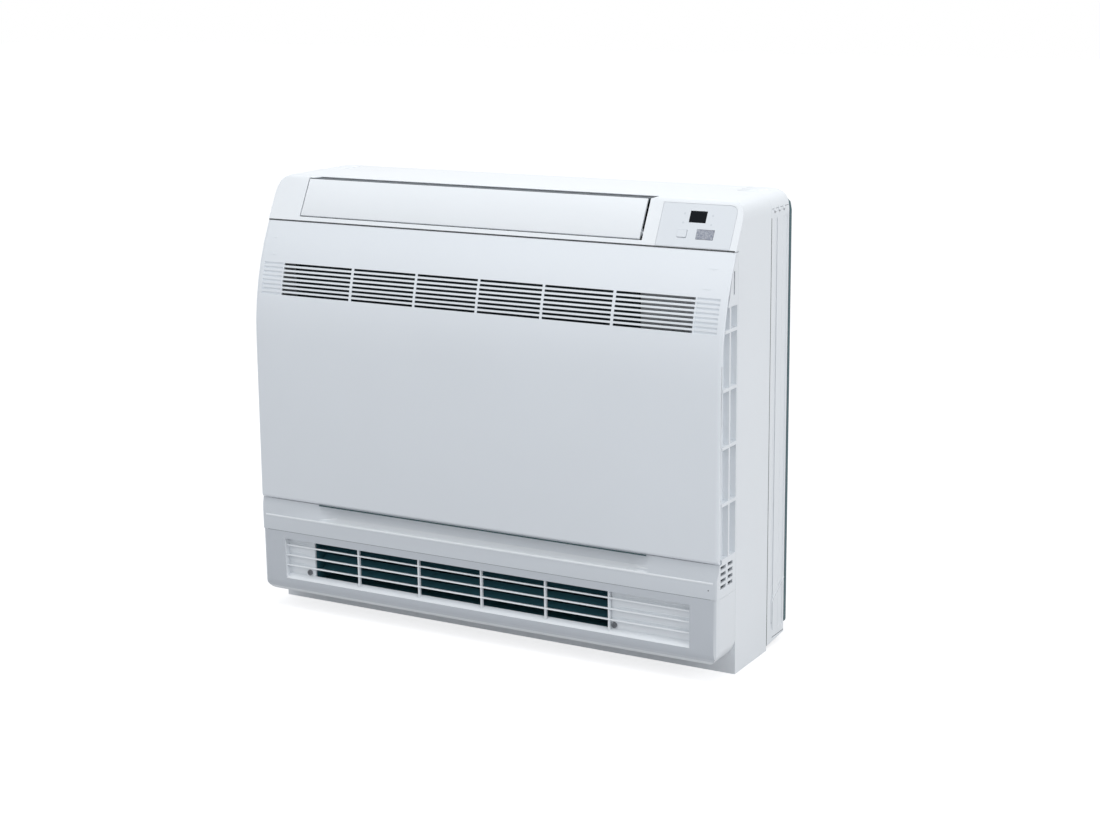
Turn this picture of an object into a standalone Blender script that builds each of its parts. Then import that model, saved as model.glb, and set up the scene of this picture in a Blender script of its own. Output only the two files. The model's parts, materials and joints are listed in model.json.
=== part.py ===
"""Floor console air conditioner, about 700 x 600 x 215 mm, as an assembly.

Metres, +Z up, the front towards -Y, the origin at the middle of the footprint
on the floor. Each object is one closed solid and one real piece. The front
stack hangs on the casing's front plane, the rear stack on the rear case, and
the fan casing takes the depth between them.
"""

import math

import bmesh
import bpy
from mathutils import Matrix, Vector

# Overall size
WIDTH = 0.700
HEIGHT = 0.600
DEPTH = 0.215

# Fits
WALL = 0.0025  # moulded walls
SEAT = 0.0003  # between pieces that touch
RUN = 0.0015  # round pieces that move
PIN_FIT = 0.0003  # pins in their holes

# Casing
SIDE_CORNER = 0.025  # top corners seen from the front
TOP_ROUND = 0.012  # slope into top
SEAM = 0.002  # between the cabinet and the rear case
REAR_CASE_DEPTH = 0.0555
WALL_PLATE_DEPTH = 0.0062
WALL_PLATE_INSET = 0.0002
WALL_PLATE_BOTTOM = 0.0218
WALL_PLATE_TOP_DROP = 0.010
WALL_PLATE_RIM = 0.003
MODULE_DEPTH = 0.0531  # how far the front modules stand before the casing
FLANGE = 0.009  # mating flange round the casing's front opening
KICK = 0.032  # height of the casing's front wall under the modules
FOOT_FLANGE = 0.030
SLOPE = math.radians(28)  # shoulder, leaning back
SHOULDER_DROP = 0.0595  # top face down to the seam over the front panel
TONGUE = 0.0075

# Front panel
PANEL_WALL = 0.003
PANEL_BOTTOM = 0.158
PANEL_STRAIGHT_TOP = 0.220  # below the top face, where the curve starts
PANEL_LEAN = math.radians(0.75)
CURVE_FACETS = 6  # flat stretches that the panel's curve is built of
PANEL_LIP = 0.0056
PANEL_EDGE = 0.006  # round between front and side
PANEL_SEAM = 0.0008
HINGE_ROUND = 0.005  # curl of the panel's bottom edge round its hinge axis
HINGE_ARM_INSET = 0.050  # hinge arms, in from the sides
HINGE_ARM_WIDTH = 0.004
HINGE_PIN = 0.0015
HINGE_EYE = 0.0034

# Intake slots in the front panel
SLOT_ROWS = 8
SLOT_COLUMNS = 6
SLOT_PITCH = 0.0056
SLOT_HEIGHT = 0.0029
SLOT_TOP_DROP = 0.1151  # highest slot below the top face
SLOT_SPAN = 0.616
SLOT_RIB = 0.004
BLIND_SLOT = 0.031  # length of the blind grooves beyond the span
BLIND_DEPTH = 0.0012

# Side ladders of the front frame
LADDER_BAR = 0.0035
LADDER_DEPTH = 0.009
LADDER_BACK = 0.0012  # wall that closes the ladder's pockets
CATCH_GAP = 0.004  # wedge beside the panel, under its catch
LADDER_PITCH = 0.0716
LADDER_RUNGS = 5
RUNG = 0.004
RUNG_BOTTOM = 0.1585

# Band with the finger valley, and the outlet module under it
BAND_BOTTOM = 0.1131
BAND_TOP = 0.157
VALLEY_HALF = 0.254
VALLEY_DEPTH = 0.013
VALLEY_LIP = 0.1335
VALLEY_FADE = 0.025  # each end of the valley runs out over this length
LEDGE_BACK = 0.0055  # how far the band leans back above its lip
BAND_CORNER = 0.006
GRILLE_BOTTOM = 0.0275
GRILLE_ROUND = 0.014
GRILLE_CORNER = 0.018
GRILLE_EDGE = 0.010  # upright edges of the outlet module
OUTLET_HALF = 0.3115
OUTLET_TOP = 0.1027
OUTLET_BOTTOM = 0.045
OUTLET_LEFT = 0.082  # open part of the outlet, in from the left side
OUTLET_RIGHT = 0.155  # and in from the right side, past the wiring
OUTLET_SET_BACK = 0.010
SLAT_SET_BACK = 0.004
OUTLET_RIB = 0.0025
OUTLET_RIB_DEPTH = 0.004
SLATS = 3
SLAT_DEPTH = 0.016
SLAT_THICK = 0.002
SLAT_TILT = math.radians(-18)
OUTLET_RIBS = 5
OUTLET_RIB_PITCH = 0.0976

# Upper outlet
LOUVER_LEFT = 0.0515  # louver, in from the left side
LOUVER_RIGHT = 0.133  # and in from the right side
LOUVER_BOTTOM = 0.0089  # above the seam, up the slope
LOUVER_LENGTH = 0.0535  # up the slope
LOUVER_WALL = 0.003
LOUVER_GAP = 0.0016
LOUVER_TOP_GAP = 0.0042
LOUVER_GAP_POINT = 0.010  # the top gap runs on to a point past the louver's right end
LOUVER_SIDE_GAP = 0.0015
LOUVER_WIRE_GAP = 0.004  # wider gap beside the control panel
LOUVER_AXIS_UP = 0.010
LOUVER_AXIS_IN = 0.006
LOUVER_PIN = 0.0017
LOUVER_EAR = 0.0042
DUCT_WALL = 0.002
VANES = 8
VANE_THICK = 0.0015
VANE_PIN = 0.0015
VANE_PIVOT_IN = 0.027  # vane pivots behind the louver's axis
CRANK = 0.010  # vane pivot to its link pin
LINK_WIDTH = 0.007
LINK_THICK = 0.0018

# Control panel on the shoulder's right end
CONTROL_LEFT = 0.110  # in from the right side
CONTROL_RIGHT = 0.009
CONTROL_RISE = 0.0570
CONTROL_CORNER = 0.010
CONTROL_START = -0.0068  # from the louver's bottom edge along the slope
CONTROL_WALL = 0.0022
CONTROL_LAP = 0.003
BOARD = 0.0016
BUTTON_TRAVEL = 0.001
BUTTON_PROUD = 0.0008

# Filters, cooling coil and drain pan
FRAME_WALL = 0.003
INTAKE_LEFT = 0.048  # intake opening, in from the left side
INTAKE_RIGHT = 0.136
INTAKE_BOTTOM = 0.186
INTAKE_TOP_DROP = 0.098
FILTER_DEPTH = 0.0042
FILTER_RIM = 0.006
FILTER_NET = 0.0006
FILTER_LAP = 0.005
COIL_DEPTH = 0.036
COIL_SET_BACK = 0.0084  # behind the casing's front plane
COIL_FINS = 26
FIN_GAP_SHARE = 0.45
COIL_BOTTOM = 0.183
COIL_TOP_DROP = 0.100
END_PLATE = 0.002
TUBE_RADIUS = 0.0035
COIL_TUBES = 6
PAN_DEPTH = 0.020
PAN_WALL = 0.002
PIPE_LIQUID = 0.0032
PIPE_GAS = 0.0048

# Fan
FAN_RADIUS = 0.150
FAN_INLET = 0.118
FAN_LIP = 0.014
BLADES = 7
BLADE_THICK = 0.003
BLADE_INNER = 0.088
MOTOR_RADIUS = 0.052
MOTOR_DEPTH = 0.042
SHAFT = 0.004
BELL_PLATE = 0.003
CHAMBER_GAP = 0.025

# Lower duct and pipes
DAMPER_PIN = 0.002
UNION_Z = 0.085

# Wiring box
BOX_WALL = 0.002
BOX_DEPTH = 0.068
BOX_RIGHT = 0.012
BOX_BOTTOM = 0.212
BOX_TOP_DROP = 0.100

# Planes and positions that follow from the sizes above
HALF = WIDTH / 2
BACK_Y = DEPTH / 2
FRONT_Y = -DEPTH / 2
CASE_Y = FRONT_Y + MODULE_DEPTH
REAR_CASE_Y = BACK_Y - WALL_PLATE_DEPTH - SEAT
SEAM_Y = REAR_CASE_Y - REAR_CASE_DEPTH
SEAM_Z = HEIGHT - SHOULDER_DROP
CURVE_Z = HEIGHT - PANEL_STRAIGHT_TOP


def shoulder_y(z):
    """Front of the shoulder at height z: a slope that starts on the panel's own curve."""
    return panel_front_y(SEAM_Z) + (z - SEAM_Z) * math.tan(SLOPE)


def curve_front_y(z):
    """The panel's true front line: nearly upright, then an arc up to the shoulder's slope."""
    upright = FRONT_Y + 0.0039
    if z <= CURVE_Z:
        return upright - (CURVE_Z - z) * math.tan(PANEL_LEAN)
    reach = SEAM_Z - CURVE_Z
    radius = reach / (math.sin(SLOPE) - math.sin(PANEL_LEAN))
    angle = math.asin(math.sin(PANEL_LEAN) + (z - CURVE_Z) / radius)
    return upright + radius * (math.cos(PANEL_LEAN) - math.cos(angle))


def panel_stations():
    """Heights of the facet lines that every piece along the curve shares."""
    return steps(CURVE_Z, SEAM_Z, CURVE_FACETS + 1)


def panel_front_y(z):
    """Front of the faceted panel at height z."""
    stations = panel_stations()
    for low, high in zip(stations, stations[1:]):
        if low < z < high:
            share = (z - low) / (high - low)
            return curve_front_y(low) * (1 - share) + curve_front_y(high) * share
    return curve_front_y(z)


def panel_heights(low, high):
    """Both ends of a stretch and the shared facet lines between them."""
    return [low] + [z for z in panel_stations() if low < z < high] + [high]


def on_slope(up, inward):
    """(y, z) of a point given along the shoulder's slope from the louver's bottom edge, and inwards."""
    start = SEAM_Z + LOUVER_BOTTOM * math.cos(SLOPE)
    y = shoulder_y(start) + up * math.sin(SLOPE) + inward * math.cos(SLOPE)
    z = start + up * math.cos(SLOPE) - inward * math.sin(SLOPE)
    return (y, z)


def steps(first, last, count):
    return [first + (last - first) * i / (count - 1) for i in range(count)]


def arc(centre, radius, start, end, count):
    """Points on an arc, angles in degrees."""
    return [
        (
            centre[0] + radius * math.cos(math.radians(a)),
            centre[1] + radius * math.sin(math.radians(a)),
        )
        for a in steps(start, end, count)
    ]


def rounded(outline, radii, count=4):
    """An outline with each corner replaced by an arc of its radius, 0 for a sharp corner."""
    points = []
    for i, corner in enumerate(outline):
        here = Vector(corner)
        before = Vector(outline[i - 1]) - here
        after = Vector(outline[(i + 1) % len(outline)]) - here
        if radii[i] == 0:
            points.append(tuple(here))
            continue
        half = before.angle(after) / 2
        reach = min(radii[i] / math.tan(half), 0.49 * before.length, 0.49 * after.length)
        first = here + before.normalized() * reach
        last = here + after.normalized() * reach
        for t in steps(0, 1, count):
            # A quadratic curve is close to an arc here and never leaves its corner.
            points.append(tuple(first * (1 - t) ** 2 + here * 2 * t * (1 - t) + last * t * t))
    return points


def rectangle(low, high):
    return [(low[0], low[1]), (high[0], low[1]), (high[0], high[1]), (low[0], high[1])]


AXES = {"X": (0, 1, 2), "Y": (1, 0, 2), "Z": (2, 0, 1)}


def prism(bm, outline, axis, low, high):
    """Adds an outline, given in the two other axes in order, drawn from low to high along an axis."""
    along, first, second = AXES[axis]
    rings = []
    for end in (low, high):
        ring = []
        for point in outline:
            place = [0, 0, 0]
            place[along] = end
            place[first] = point[0]
            place[second] = point[1]
            ring.append(bm.verts.new(place))
        rings.append(ring)
    count = len(outline)
    faces = [bm.faces.new(rings[0]), bm.faces.new(rings[1])]
    for i in range(count):
        j = (i + 1) % count
        faces.append(bm.faces.new((rings[0][i], rings[0][j], rings[1][j], rings[1][i])))
    bmesh.ops.recalc_face_normals(bm, faces=faces)
    return faces


def box(bm, x, y, z):
    return prism(bm, rectangle((y[0], z[0]), (y[1], z[1])), "X", x[0], x[1])


def disc(bm, centre, radius, axis, low, high, sides=20):
    outline = [
        (
            centre[0] + radius * math.cos(2 * math.pi * (i + 0.5) / sides),
            centre[1] + radius * math.sin(2 * math.pi * (i + 0.5) / sides),
        )
        for i in range(sides)
    ]
    return prism(bm, outline, axis, low, high)


def material(name, colour, rough, metallic=0.0):
    found = bpy.data.materials.get(name)
    if found:
        return found
    made = bpy.data.materials.new(name)
    made.use_nodes = True
    shader = made.node_tree.nodes["Principled BSDF"]
    shader.inputs["Base Color"].default_value = (*colour, 1)
    shader.inputs["Roughness"].default_value = rough
    shader.inputs["Metallic"].default_value = metallic
    made.diffuse_color = (*colour, 1)
    return made


def white_plastic():
    return material("white_plastic", (0.80, 0.83, 0.86), 0.35)


def pale_plastic():
    return material("pale_plastic", (0.66, 0.70, 0.75), 0.4)


def dark_plastic():
    return material("dark_plastic", (0.05, 0.09, 0.11), 0.5)


def teal_steel():
    return material("teal_steel", (0.02, 0.07, 0.09), 0.45, 0.3)


def zinc_steel():
    return material("zinc_steel", (0.55, 0.57, 0.58), 0.35, 0.9)


def fin_aluminium():
    return material("fin_aluminium", (0.35, 0.52, 0.55), 0.4, 0.7)


def copper():
    return material("copper", (0.72, 0.35, 0.2), 0.3, 1.0)


def brass():
    return material("brass", (0.75, 0.58, 0.28), 0.3, 1.0)


def black_gloss():
    return material("black_gloss", (0.01, 0.012, 0.015), 0.1)


def grey_gloss():
    return material("grey_gloss", (0.30, 0.33, 0.38), 0.15)


def circuit_green():
    return material("circuit_green", (0.03, 0.2, 0.1), 0.5)


def filter_net():
    return material("filter_net", (0.16, 0.2, 0.24), 0.8)


def helper(name, volumes):
    """A hidden object that holds the volumes of one Boolean, each drawn by its own function."""
    bm = bmesh.new()
    for draw in volumes:
        draw(bm)
    mesh = bpy.data.meshes.new(name)
    bm.to_mesh(mesh)
    bm.free()
    made = bpy.data.objects.new(name, mesh)
    bpy.context.collection.objects.link(made)
    made.hide_render = True
    made.hide_set(True)
    made.display_type = "WIRE"
    return made


def boolean(target, operation, volumes, self_crossing=True):
    """Applies the volumes to a piece in one EXACT Boolean modifier."""
    name = f"{target.name}_{operation.lower()}_{len(target.modifiers)}"
    modifier = target.modifiers.new(name, "BOOLEAN")
    modifier.operation = operation
    modifier.solver = "EXACT"
    modifier.use_self = self_crossing
    modifier.object = helper(name, volumes)


def piece(name, look, solid, origin=(0, 0, 0)):
    """A named object from one closed volume, with its origin where its joint is."""
    bm = bmesh.new()
    solid(bm)
    bmesh.ops.translate(bm, verts=bm.verts, vec=-Vector(origin))
    mesh = bpy.data.meshes.new(name)
    bm.to_mesh(mesh)
    bm.free()
    mesh.materials.append(look)
    mesh.shade_smooth()
    mesh.set_sharp_from_angle(angle=math.radians(30))
    made = bpy.data.objects.new(name, mesh)
    made.location = origin
    bpy.context.collection.objects.link(made)
    return made


def of_prism(outline, axis, low, high):
    return lambda bm: prism(bm, outline, axis, low, high)


def of_box(x, y, z):
    return lambda bm: box(bm, x, y, z)


def of_disc(centre, radius, axis, low, high, sides=20):
    return lambda bm: disc(bm, centre, radius, axis, low, high, sides)


def both_sides(x, y, z):
    """The same box at the left and at the right, for x given on the right."""
    return [of_box(x, y, z), of_box((-x[1], -x[0]), y, z)]


def sloped(outline_up_in):
    """An outline given along the slope and inwards, as (y, z) points."""
    return [on_slope(up, inward) for up, inward in outline_up_in]


def sloped_box(x, up, inward):
    return of_prism(
        sloped([(up[0], inward[0]), (up[1], inward[0]), (up[1], inward[1]), (up[0], inward[1])]),
        "X",
        x[0],
        x[1],
    )


def sloped_plate(outline, inward):
    """An outline in x and up the slope, drawn inwards from one depth to another."""

    def solid(bm):
        rings = []
        for depth in inward:
            rings.append([bm.verts.new((x, *on_slope(up, depth))) for x, up in outline])
        faces = [bm.faces.new(rings[0]), bm.faces.new(rings[1])]
        for i in range(len(outline)):
            j = (i + 1) % len(outline)
            faces.append(bm.faces.new((rings[0][i], rings[0][j], rings[1][j], rings[1][i])))
        bmesh.ops.recalc_face_normals(bm, faces=faces)

    return solid


def louver_top_gap():
    """The gap above the louver, in x and up the slope, pointed at both ends."""
    left, right = louver_opening()
    low = LOUVER_LENGTH
    high = LOUVER_LENGTH + LOUVER_TOP_GAP
    return [
        (left, low),
        (right, low),
        (right + LOUVER_GAP_POINT, high),
        (left + 2 * LOUVER_GAP_POINT, high),
    ]


def control_outline(fit):
    """The control panel in x and up the slope, its upper right corner rounded."""
    left, right = control_span()
    low, high = CONTROL_START, CONTROL_START + CONTROL_RISE
    corners = rectangle((left + fit, low + fit), (right - fit, high - fit))
    return rounded(corners, [0, 0, CONTROL_CORNER - fit, 0], 4)


def clear_scene():
    for thing in list(bpy.data.objects):
        bpy.data.objects.remove(thing, do_unlink=True)


def casing_front_outline(inset):
    """The casing seen from the front: upright sides and rounded top corners."""
    side = HALF - inset
    top = HEIGHT - inset
    corners = [(-side, -0.02), (side, -0.02), (side, top), (-side, top)]
    return rounded(corners, [0, 0, SIDE_CORNER - inset, SIDE_CORNER - inset], 6)


def louver_span():
    return (-HALF + LOUVER_LEFT, HALF - LOUVER_RIGHT)


def louver_opening():
    left, right = louver_span()
    return (left - LOUVER_SIDE_GAP, right + LOUVER_WIRE_GAP)


def control_span():
    return (HALF - CONTROL_LEFT, HALF - CONTROL_RIGHT)


def casing_side_outline(inset):
    """The cabinet seen from the side, its shoulder leaning over the front panel."""
    front = CASE_Y + inset
    low = SEAM_Z + PANEL_SEAM / 2
    shoulder = shoulder_y(low) + inset / math.cos(SLOPE)
    top = HEIGHT - inset
    crest = shoulder_y(top) + inset / math.cos(SLOPE)
    back = SEAM_Y - SEAM if inset == 0 else SEAM_Y + 0.01
    floor = 0 if inset == 0 else inset
    step = low if inset == 0 else low + inset
    step_y = shoulder + (inset * math.tan(SLOPE) if inset else 0)
    outline = [
        (back, floor),
        (front, floor),
        (front, step),
        (step_y, step),
        (crest, top),
        (back, top),
    ]
    return rounded(outline, [0, 0, 0, 0, TOP_ROUND - inset, 0], 5)


def cabinet_shell():
    made = piece(
        "cabinet_shell",
        white_plastic(),
        of_prism(casing_side_outline(0), "X", -HALF, HALF),
    )
    boolean(made, "INTERSECT", [of_prism(casing_front_outline(0), "Y", FRONT_Y, BACK_Y)])
    inner = helper("cabinet_inner", [of_prism(casing_side_outline(WALL), "X", -HALF, HALF)])
    cut = inner.modifiers.new("rounded", "BOOLEAN")
    cut.operation = "INTERSECT"
    cut.object = helper(
        "cabinet_inner_round",
        [of_prism(casing_front_outline(WALL), "Y", FRONT_Y, BACK_Y)],
    )
    hollow = made.modifiers.new("hollow", "BOOLEAN")
    hollow.object = inner
    louver_left, louver_right = louver_opening()
    opening_side = HALF - FLANGE
    cuts = [
        of_box(
            (-opening_side, opening_side),
            (CASE_Y - 0.004, CASE_Y + 0.004),
            (KICK, SEAM_Z + PANEL_SEAM / 2),
        ),
        of_box(
            (-HALF + FOOT_FLANGE, HALF - FOOT_FLANGE),
            (CASE_Y + FOOT_FLANGE, SEAM_Y),
            (-0.01, 0.01),
        ),
        sloped_box(
            (louver_left, louver_right),
            (-LOUVER_GAP, LOUVER_LENGTH + LOUVER_GAP),
            (-0.02, 0.0048),
        ),
        sloped_plate(louver_top_gap(), (-0.02, 0.0048)),
        sloped_plate(control_outline(0), (-0.02, 0.006)),
    ]
    boolean(made, "DIFFERENCE", cuts)
    return made


def rear_outline(inset, low):
    """The rear case seen from the front: its top corners match the cabinet's."""
    side = HALF - inset
    corners = [(-side, low), (side, low), (side, HEIGHT - inset), (-side, HEIGHT - inset)]
    return rounded(corners, [0, 0, SIDE_CORNER - inset, SIDE_CORNER - inset], 6)


def rear_case():
    low = 0.005
    rise = 0.0055
    made = piece(
        "rear_case", white_plastic(), of_prism(rear_outline(0, low), "Y", SEAM_Y, REAR_CASE_Y)
    )
    inset = WALL + SEAT
    boolean(
        made,
        "UNION",
        [of_prism(rear_outline(inset, low + WALL), "Y", SEAM_Y - SEAM - TONGUE, SEAM_Y + 0.004)],
    )
    strip = [(SEAM_Y + 0.0125, SEAM_Y + 0.0195), (SEAM_Y + 0.0355, SEAM_Y + 0.0500)]
    under = [(SEAM_Y - 0.001, -0.01), (REAR_CASE_Y + 0.01, -0.01), (REAR_CASE_Y + 0.01, low + rise)]
    cuts = [
        of_prism(
            rear_outline(inset + WALL, low + rise + 2 * WALL),
            "Y",
            SEAM_Y - 0.02,
            SEAM_Y + 0.005,
        ),
        of_prism(
            rear_outline(WALL, low + rise + WALL),
            "Y",
            SEAM_Y + 0.0045,
            REAR_CASE_Y - 0.003,
        ),
        of_prism(under + [(SEAM_Y - 0.001, low)], "X", -HALF - 0.01, HALF + 0.01),
        of_box(
            (HALF - 0.125, HALF - 0.040),
            (REAR_CASE_Y - 0.01, REAR_CASE_Y + 0.01),
            (0.040, 0.100),
        ),
    ]
    for y in strip:
        cuts += both_sides((HALF - 0.0007, HALF + 0.01), y, (0.022, HEIGHT - 0.032))
    boolean(made, "DIFFERENCE", cuts)
    return made


def slot_outline(centre, half_width, half_height, sides=6):
    """A round-ended hole, taller than it is wide."""
    top = arc((centre[0], centre[1] + half_height - half_width), half_width, 0, 180, sides)
    bottom = arc((centre[0], centre[1] - half_height + half_width), half_width, 180, 360, sides)
    return top + bottom


def wall_plate():
    side = HALF - WALL_PLATE_INSET
    low, high = WALL_PLATE_BOTTOM, HEIGHT - WALL_PLATE_TOP_DROP
    outline = rounded(rectangle((-side, low), (side, high)), [0.004, 0.004, 0.018, 0.018], 4)
    made = piece("wall_plate", teal_steel(), of_prism(outline, "Y", REAR_CASE_Y + SEAT, BACK_Y))
    rim = WALL_PLATE_RIM
    inner = rounded(
        rectangle((-side + rim, low + rim), (side - rim, high - rim)), [0.003, 0.003, 0.015, 0.015], 4
    )
    cuts = [of_prism(inner, "Y", REAR_CASE_Y - 0.01, BACK_Y - 0.0015)]
    for x in (-0.6 * HALF, 0.6 * HALF):
        for z in (0.12, HEIGHT - 0.10):
            cuts.append(
                of_prism(slot_outline((x, z), 0.004, 0.010), "Y", BACK_Y - 0.01, BACK_Y + 0.01),
            )
    hole = rounded(rectangle((HALF - 0.120, 0.045), (HALF - 0.045, 0.095)), [0.01] * 4, 4)
    cuts.append(of_prism(hole, "Y", BACK_Y - 0.01, BACK_Y + 0.01))
    boolean(made, "DIFFERENCE", cuts)
    # Pressed pads carry the plate's load to the rear case.
    pads = []
    for x in (-0.35 * HALF, 0.35 * HALF):
        pads.append(of_disc((x, HEIGHT / 2), 0.012, "Y", REAR_CASE_Y + SEAT, BACK_Y - 0.001, 16))
    boolean(made, "UNION", pads)
    return made


def lip_depth(z):
    """Depth of the panel's side lips: full on the upright part, the bare wall up on the curve."""
    share = min(max((z - CURVE_Z) / 0.07, 0), 1)
    return PANEL_LIP + (PANEL_WALL + 0.0002 - PANEL_LIP) * share


def hinge_axis():
    z = PANEL_BOTTOM + HINGE_ROUND
    return (panel_front_y(z) + HINGE_ROUND, z)


def panel_section(share):
    """The panel's outline at a share, 0 to 1, of its rounded front edge: 1 is the flat front."""
    axis_y, axis_z = hinge_axis()
    top = SEAM_Z - PANEL_SEAM / 2
    curl = arc((axis_y, axis_z), HINGE_ROUND, 270, 180, 6)
    heights = panel_heights(axis_z, top)[1:]
    front = curl + [(panel_front_y(z), z) for z in heights]
    give = 0.6 * (1 - share)
    drawn = []
    for y, z in front[1:]:
        # The draw-back fades out under the axis, so that the curl keeps its thickness.
        fade = 1 if z > axis_z else (axis_y - y) / HINGE_ROUND
        drawn.append((y + give * fade * lip_depth(z), z))
    rear = [(panel_front_y(z) + lip_depth(z), z) for z in reversed(heights)]
    last = panel_front_y(axis_z) + PANEL_LIP
    return [curl[0]] + drawn + rear + [(last, axis_z), (last, PANEL_BOTTOM)]


def loft(bm, sections):
    """A closed solid through outlines of equal length, each at its own X."""
    rings = [[bm.verts.new((x, y, z)) for y, z in outline] for x, outline in sections]
    faces = [bm.faces.new(rings[0]), bm.faces.new(rings[-1])]
    count = len(rings[0])
    for low, high in zip(rings, rings[1:]):
        for i in range(count):
            j = (i + 1) % count
            faces.append(bm.faces.new((low[i], low[j], high[j], high[i])))
    bmesh.ops.recalc_face_normals(bm, faces=faces)


def panel_solid(bm):
    """Sections from left to right, drawn back round the upright edges."""
    edge = [
        (HALF - PANEL_EDGE * (1 - math.cos(t)), math.sin(t)) for t in steps(0, math.pi / 2, 4)
    ]
    places = [(-x, share) for x, share in edge] + list(reversed(edge))
    loft(bm, [(x, panel_section(share)) for x, share in places])


def slot_rows():
    top = HEIGHT - SLOT_TOP_DROP
    return [top - i * SLOT_PITCH for i in range(SLOT_ROWS)]


def slot_cells():
    """The open stretches of a slot row between its upright ribs."""
    edges = steps(-SLOT_SPAN / 2, SLOT_SPAN / 2, SLOT_COLUMNS + 1)
    cells = []
    for i in range(SLOT_COLUMNS):
        low = edges[i] + (SLOT_RIB / 2 if i else 0)
        high = edges[i + 1] - (SLOT_RIB / 2 if i < SLOT_COLUMNS - 1 else 0)
        cells.append((low, high))
    return cells


def hinge_arm_places():
    place = HALF - HINGE_ARM_INSET
    return (-place, place)


def front_panel():
    axis_y, axis_z = hinge_axis()
    made = piece("front_panel", pale_plastic(), panel_solid, (0, axis_y, axis_z))
    top = SEAM_Z - PANEL_SEAM / 2 - PANEL_WALL
    heights = panel_heights(axis_z, top)
    inner = [(panel_front_y(z) + PANEL_WALL, z) for z in heights]
    low_y = panel_front_y(axis_z) + PANEL_WALL
    outline = [(CASE_Y, PANEL_BOTTOM + PANEL_WALL), (low_y, PANEL_BOTTOM + PANEL_WALL)]
    outline += inner + [(CASE_Y, top)]
    lip = HALF - 0.004
    cuts = [of_prism(outline, "X", -lip, lip)]
    boolean(made, "DIFFERENCE", cuts)
    bosses = []
    for x in hinge_arm_places():
        reach = HINGE_ARM_WIDTH / 2 + 0.004
        bosses.append(
            of_disc((axis_y, axis_z), HINGE_ROUND - 0.0004, "X", x - reach, x + reach, 16),
        )
    boolean(made, "UNION", bosses)
    pockets = []
    for x in hinge_arm_places():
        reach = HINGE_ARM_WIDTH / 2 + SEAT
        pockets.append(of_disc((axis_y, axis_z), HINGE_EYE + 0.0004, "X", x - reach, x + reach, 20))
        pockets.append(
            of_box(
                (x - reach, x + reach),
                (axis_y - 0.0015, axis_y + 0.02),
                (PANEL_BOTTOM - 0.002, axis_z + HINGE_ROUND),
            )
        )
    for z in slot_rows():
        middle = panel_front_y(z)
        for cell in slot_cells():
            pockets.append(
                of_box(
                    cell,
                    (middle - 0.01, middle + 0.012),
                    (z - SLOT_HEIGHT / 2, z + SLOT_HEIGHT / 2),
                )
            )
        start = SLOT_SPAN / 2 + SLOT_RIB / 2
        pockets += both_sides(
            (start, start + BLIND_SLOT),
            (middle - 0.01, middle + BLIND_DEPTH),
            (z - SLOT_HEIGHT / 2, z + SLOT_HEIGHT / 2),
        )
    boolean(made, "DIFFERENCE", pockets)
    pins = []
    for x in hinge_arm_places():
        reach = HINGE_ARM_WIDTH / 2 + 0.002
        pins.append(of_disc((axis_y, axis_z), HINGE_PIN, "X", x - reach, x + reach, 12))
    boolean(made, "UNION", pins)
    return made


def band_outline(inset):
    low = BAND_BOTTOM - (0.004 if inset else 0)
    front_low = panel_front_y(BAND_BOTTOM) + inset
    front_top = front_low + LEDGE_BACK
    back = CASE_Y - SEAT - (FRAME_WALL if inset else 0)
    top = BAND_TOP - inset
    return [(back, low), (front_low, low), (front_low, VALLEY_LIP), (front_top, top), (back, top)]


def intake_opening():
    return (-HALF + INTAKE_LEFT, HALF - INTAKE_RIGHT), (INTAKE_BOTTOM, HEIGHT - INTAKE_TOP_DROP)


def cheek_gap(z):
    """The gap beside the panel: close at its top, a wedge under the catch, then running."""
    (_, middle), (_, tall) = latch_slot()
    top = middle + 0.3 * tall
    low = middle - 1.4 * tall
    if z > top:
        return 2 * SEAT
    if z > low:
        return RUN + (CATCH_GAP - RUN) * (top - z) / (top - low)
    return RUN


def cheek_outline():
    """A side cheek behind the panel's lip, cleared round the hinge axis."""
    axis_y, axis_z = hinge_axis()
    back = CASE_Y - SEAT
    top = SEAM_Z - PANEL_SEAM
    clear = axis_y + HINGE_ROUND + 0.0007
    above = axis_z + HINGE_ROUND + 0.0007
    heights = panel_heights(above, top)
    front = [(panel_front_y(z) + lip_depth(z) + cheek_gap(z), z) for z in heights]
    start = [(back, BAND_TOP - 0.002), (clear, BAND_TOP - 0.002), (clear, above)]
    return start + front + [(back, top)]


def lip_strip_outline():
    """The strip that joins the rungs' front ends, hidden behind the panel's lip."""
    heights = panel_heights(hinge_axis()[1] + HINGE_ROUND + 0.0007, SEAM_Z - 0.055)
    front = [(panel_front_y(z) + PANEL_WALL + 0.0008, z) for z in heights]
    rear = [(panel_front_y(z) + lip_depth(z) + RUN + 0.001, z) for z in reversed(heights)]
    return front + rear


def ladder_windows():
    """(y, z) spans of the openings between the rungs of a side ladder."""
    rear = (CASE_Y - 0.0206, CASE_Y - 0.0028)
    front = (FRONT_Y - 0.02, rear[0] - LADDER_BAR)
    found = []
    for i in range(LADDER_RUNGS):
        low = RUNG_BOTTOM + RUNG + i * LADDER_PITCH
        high = low + LADDER_PITCH - RUNG if i < LADDER_RUNGS - 1 else SEAM_Z - 0.0645
        found += [(rear, (low, high)), (front, (low, high))]
    return found


def latch_slot():
    """(y, z) middle and half sizes of the slot that a panel catch slides in."""
    return (CASE_Y - 0.0116, SEAM_Z - 0.0366), (0.0018, 0.0145)


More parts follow.
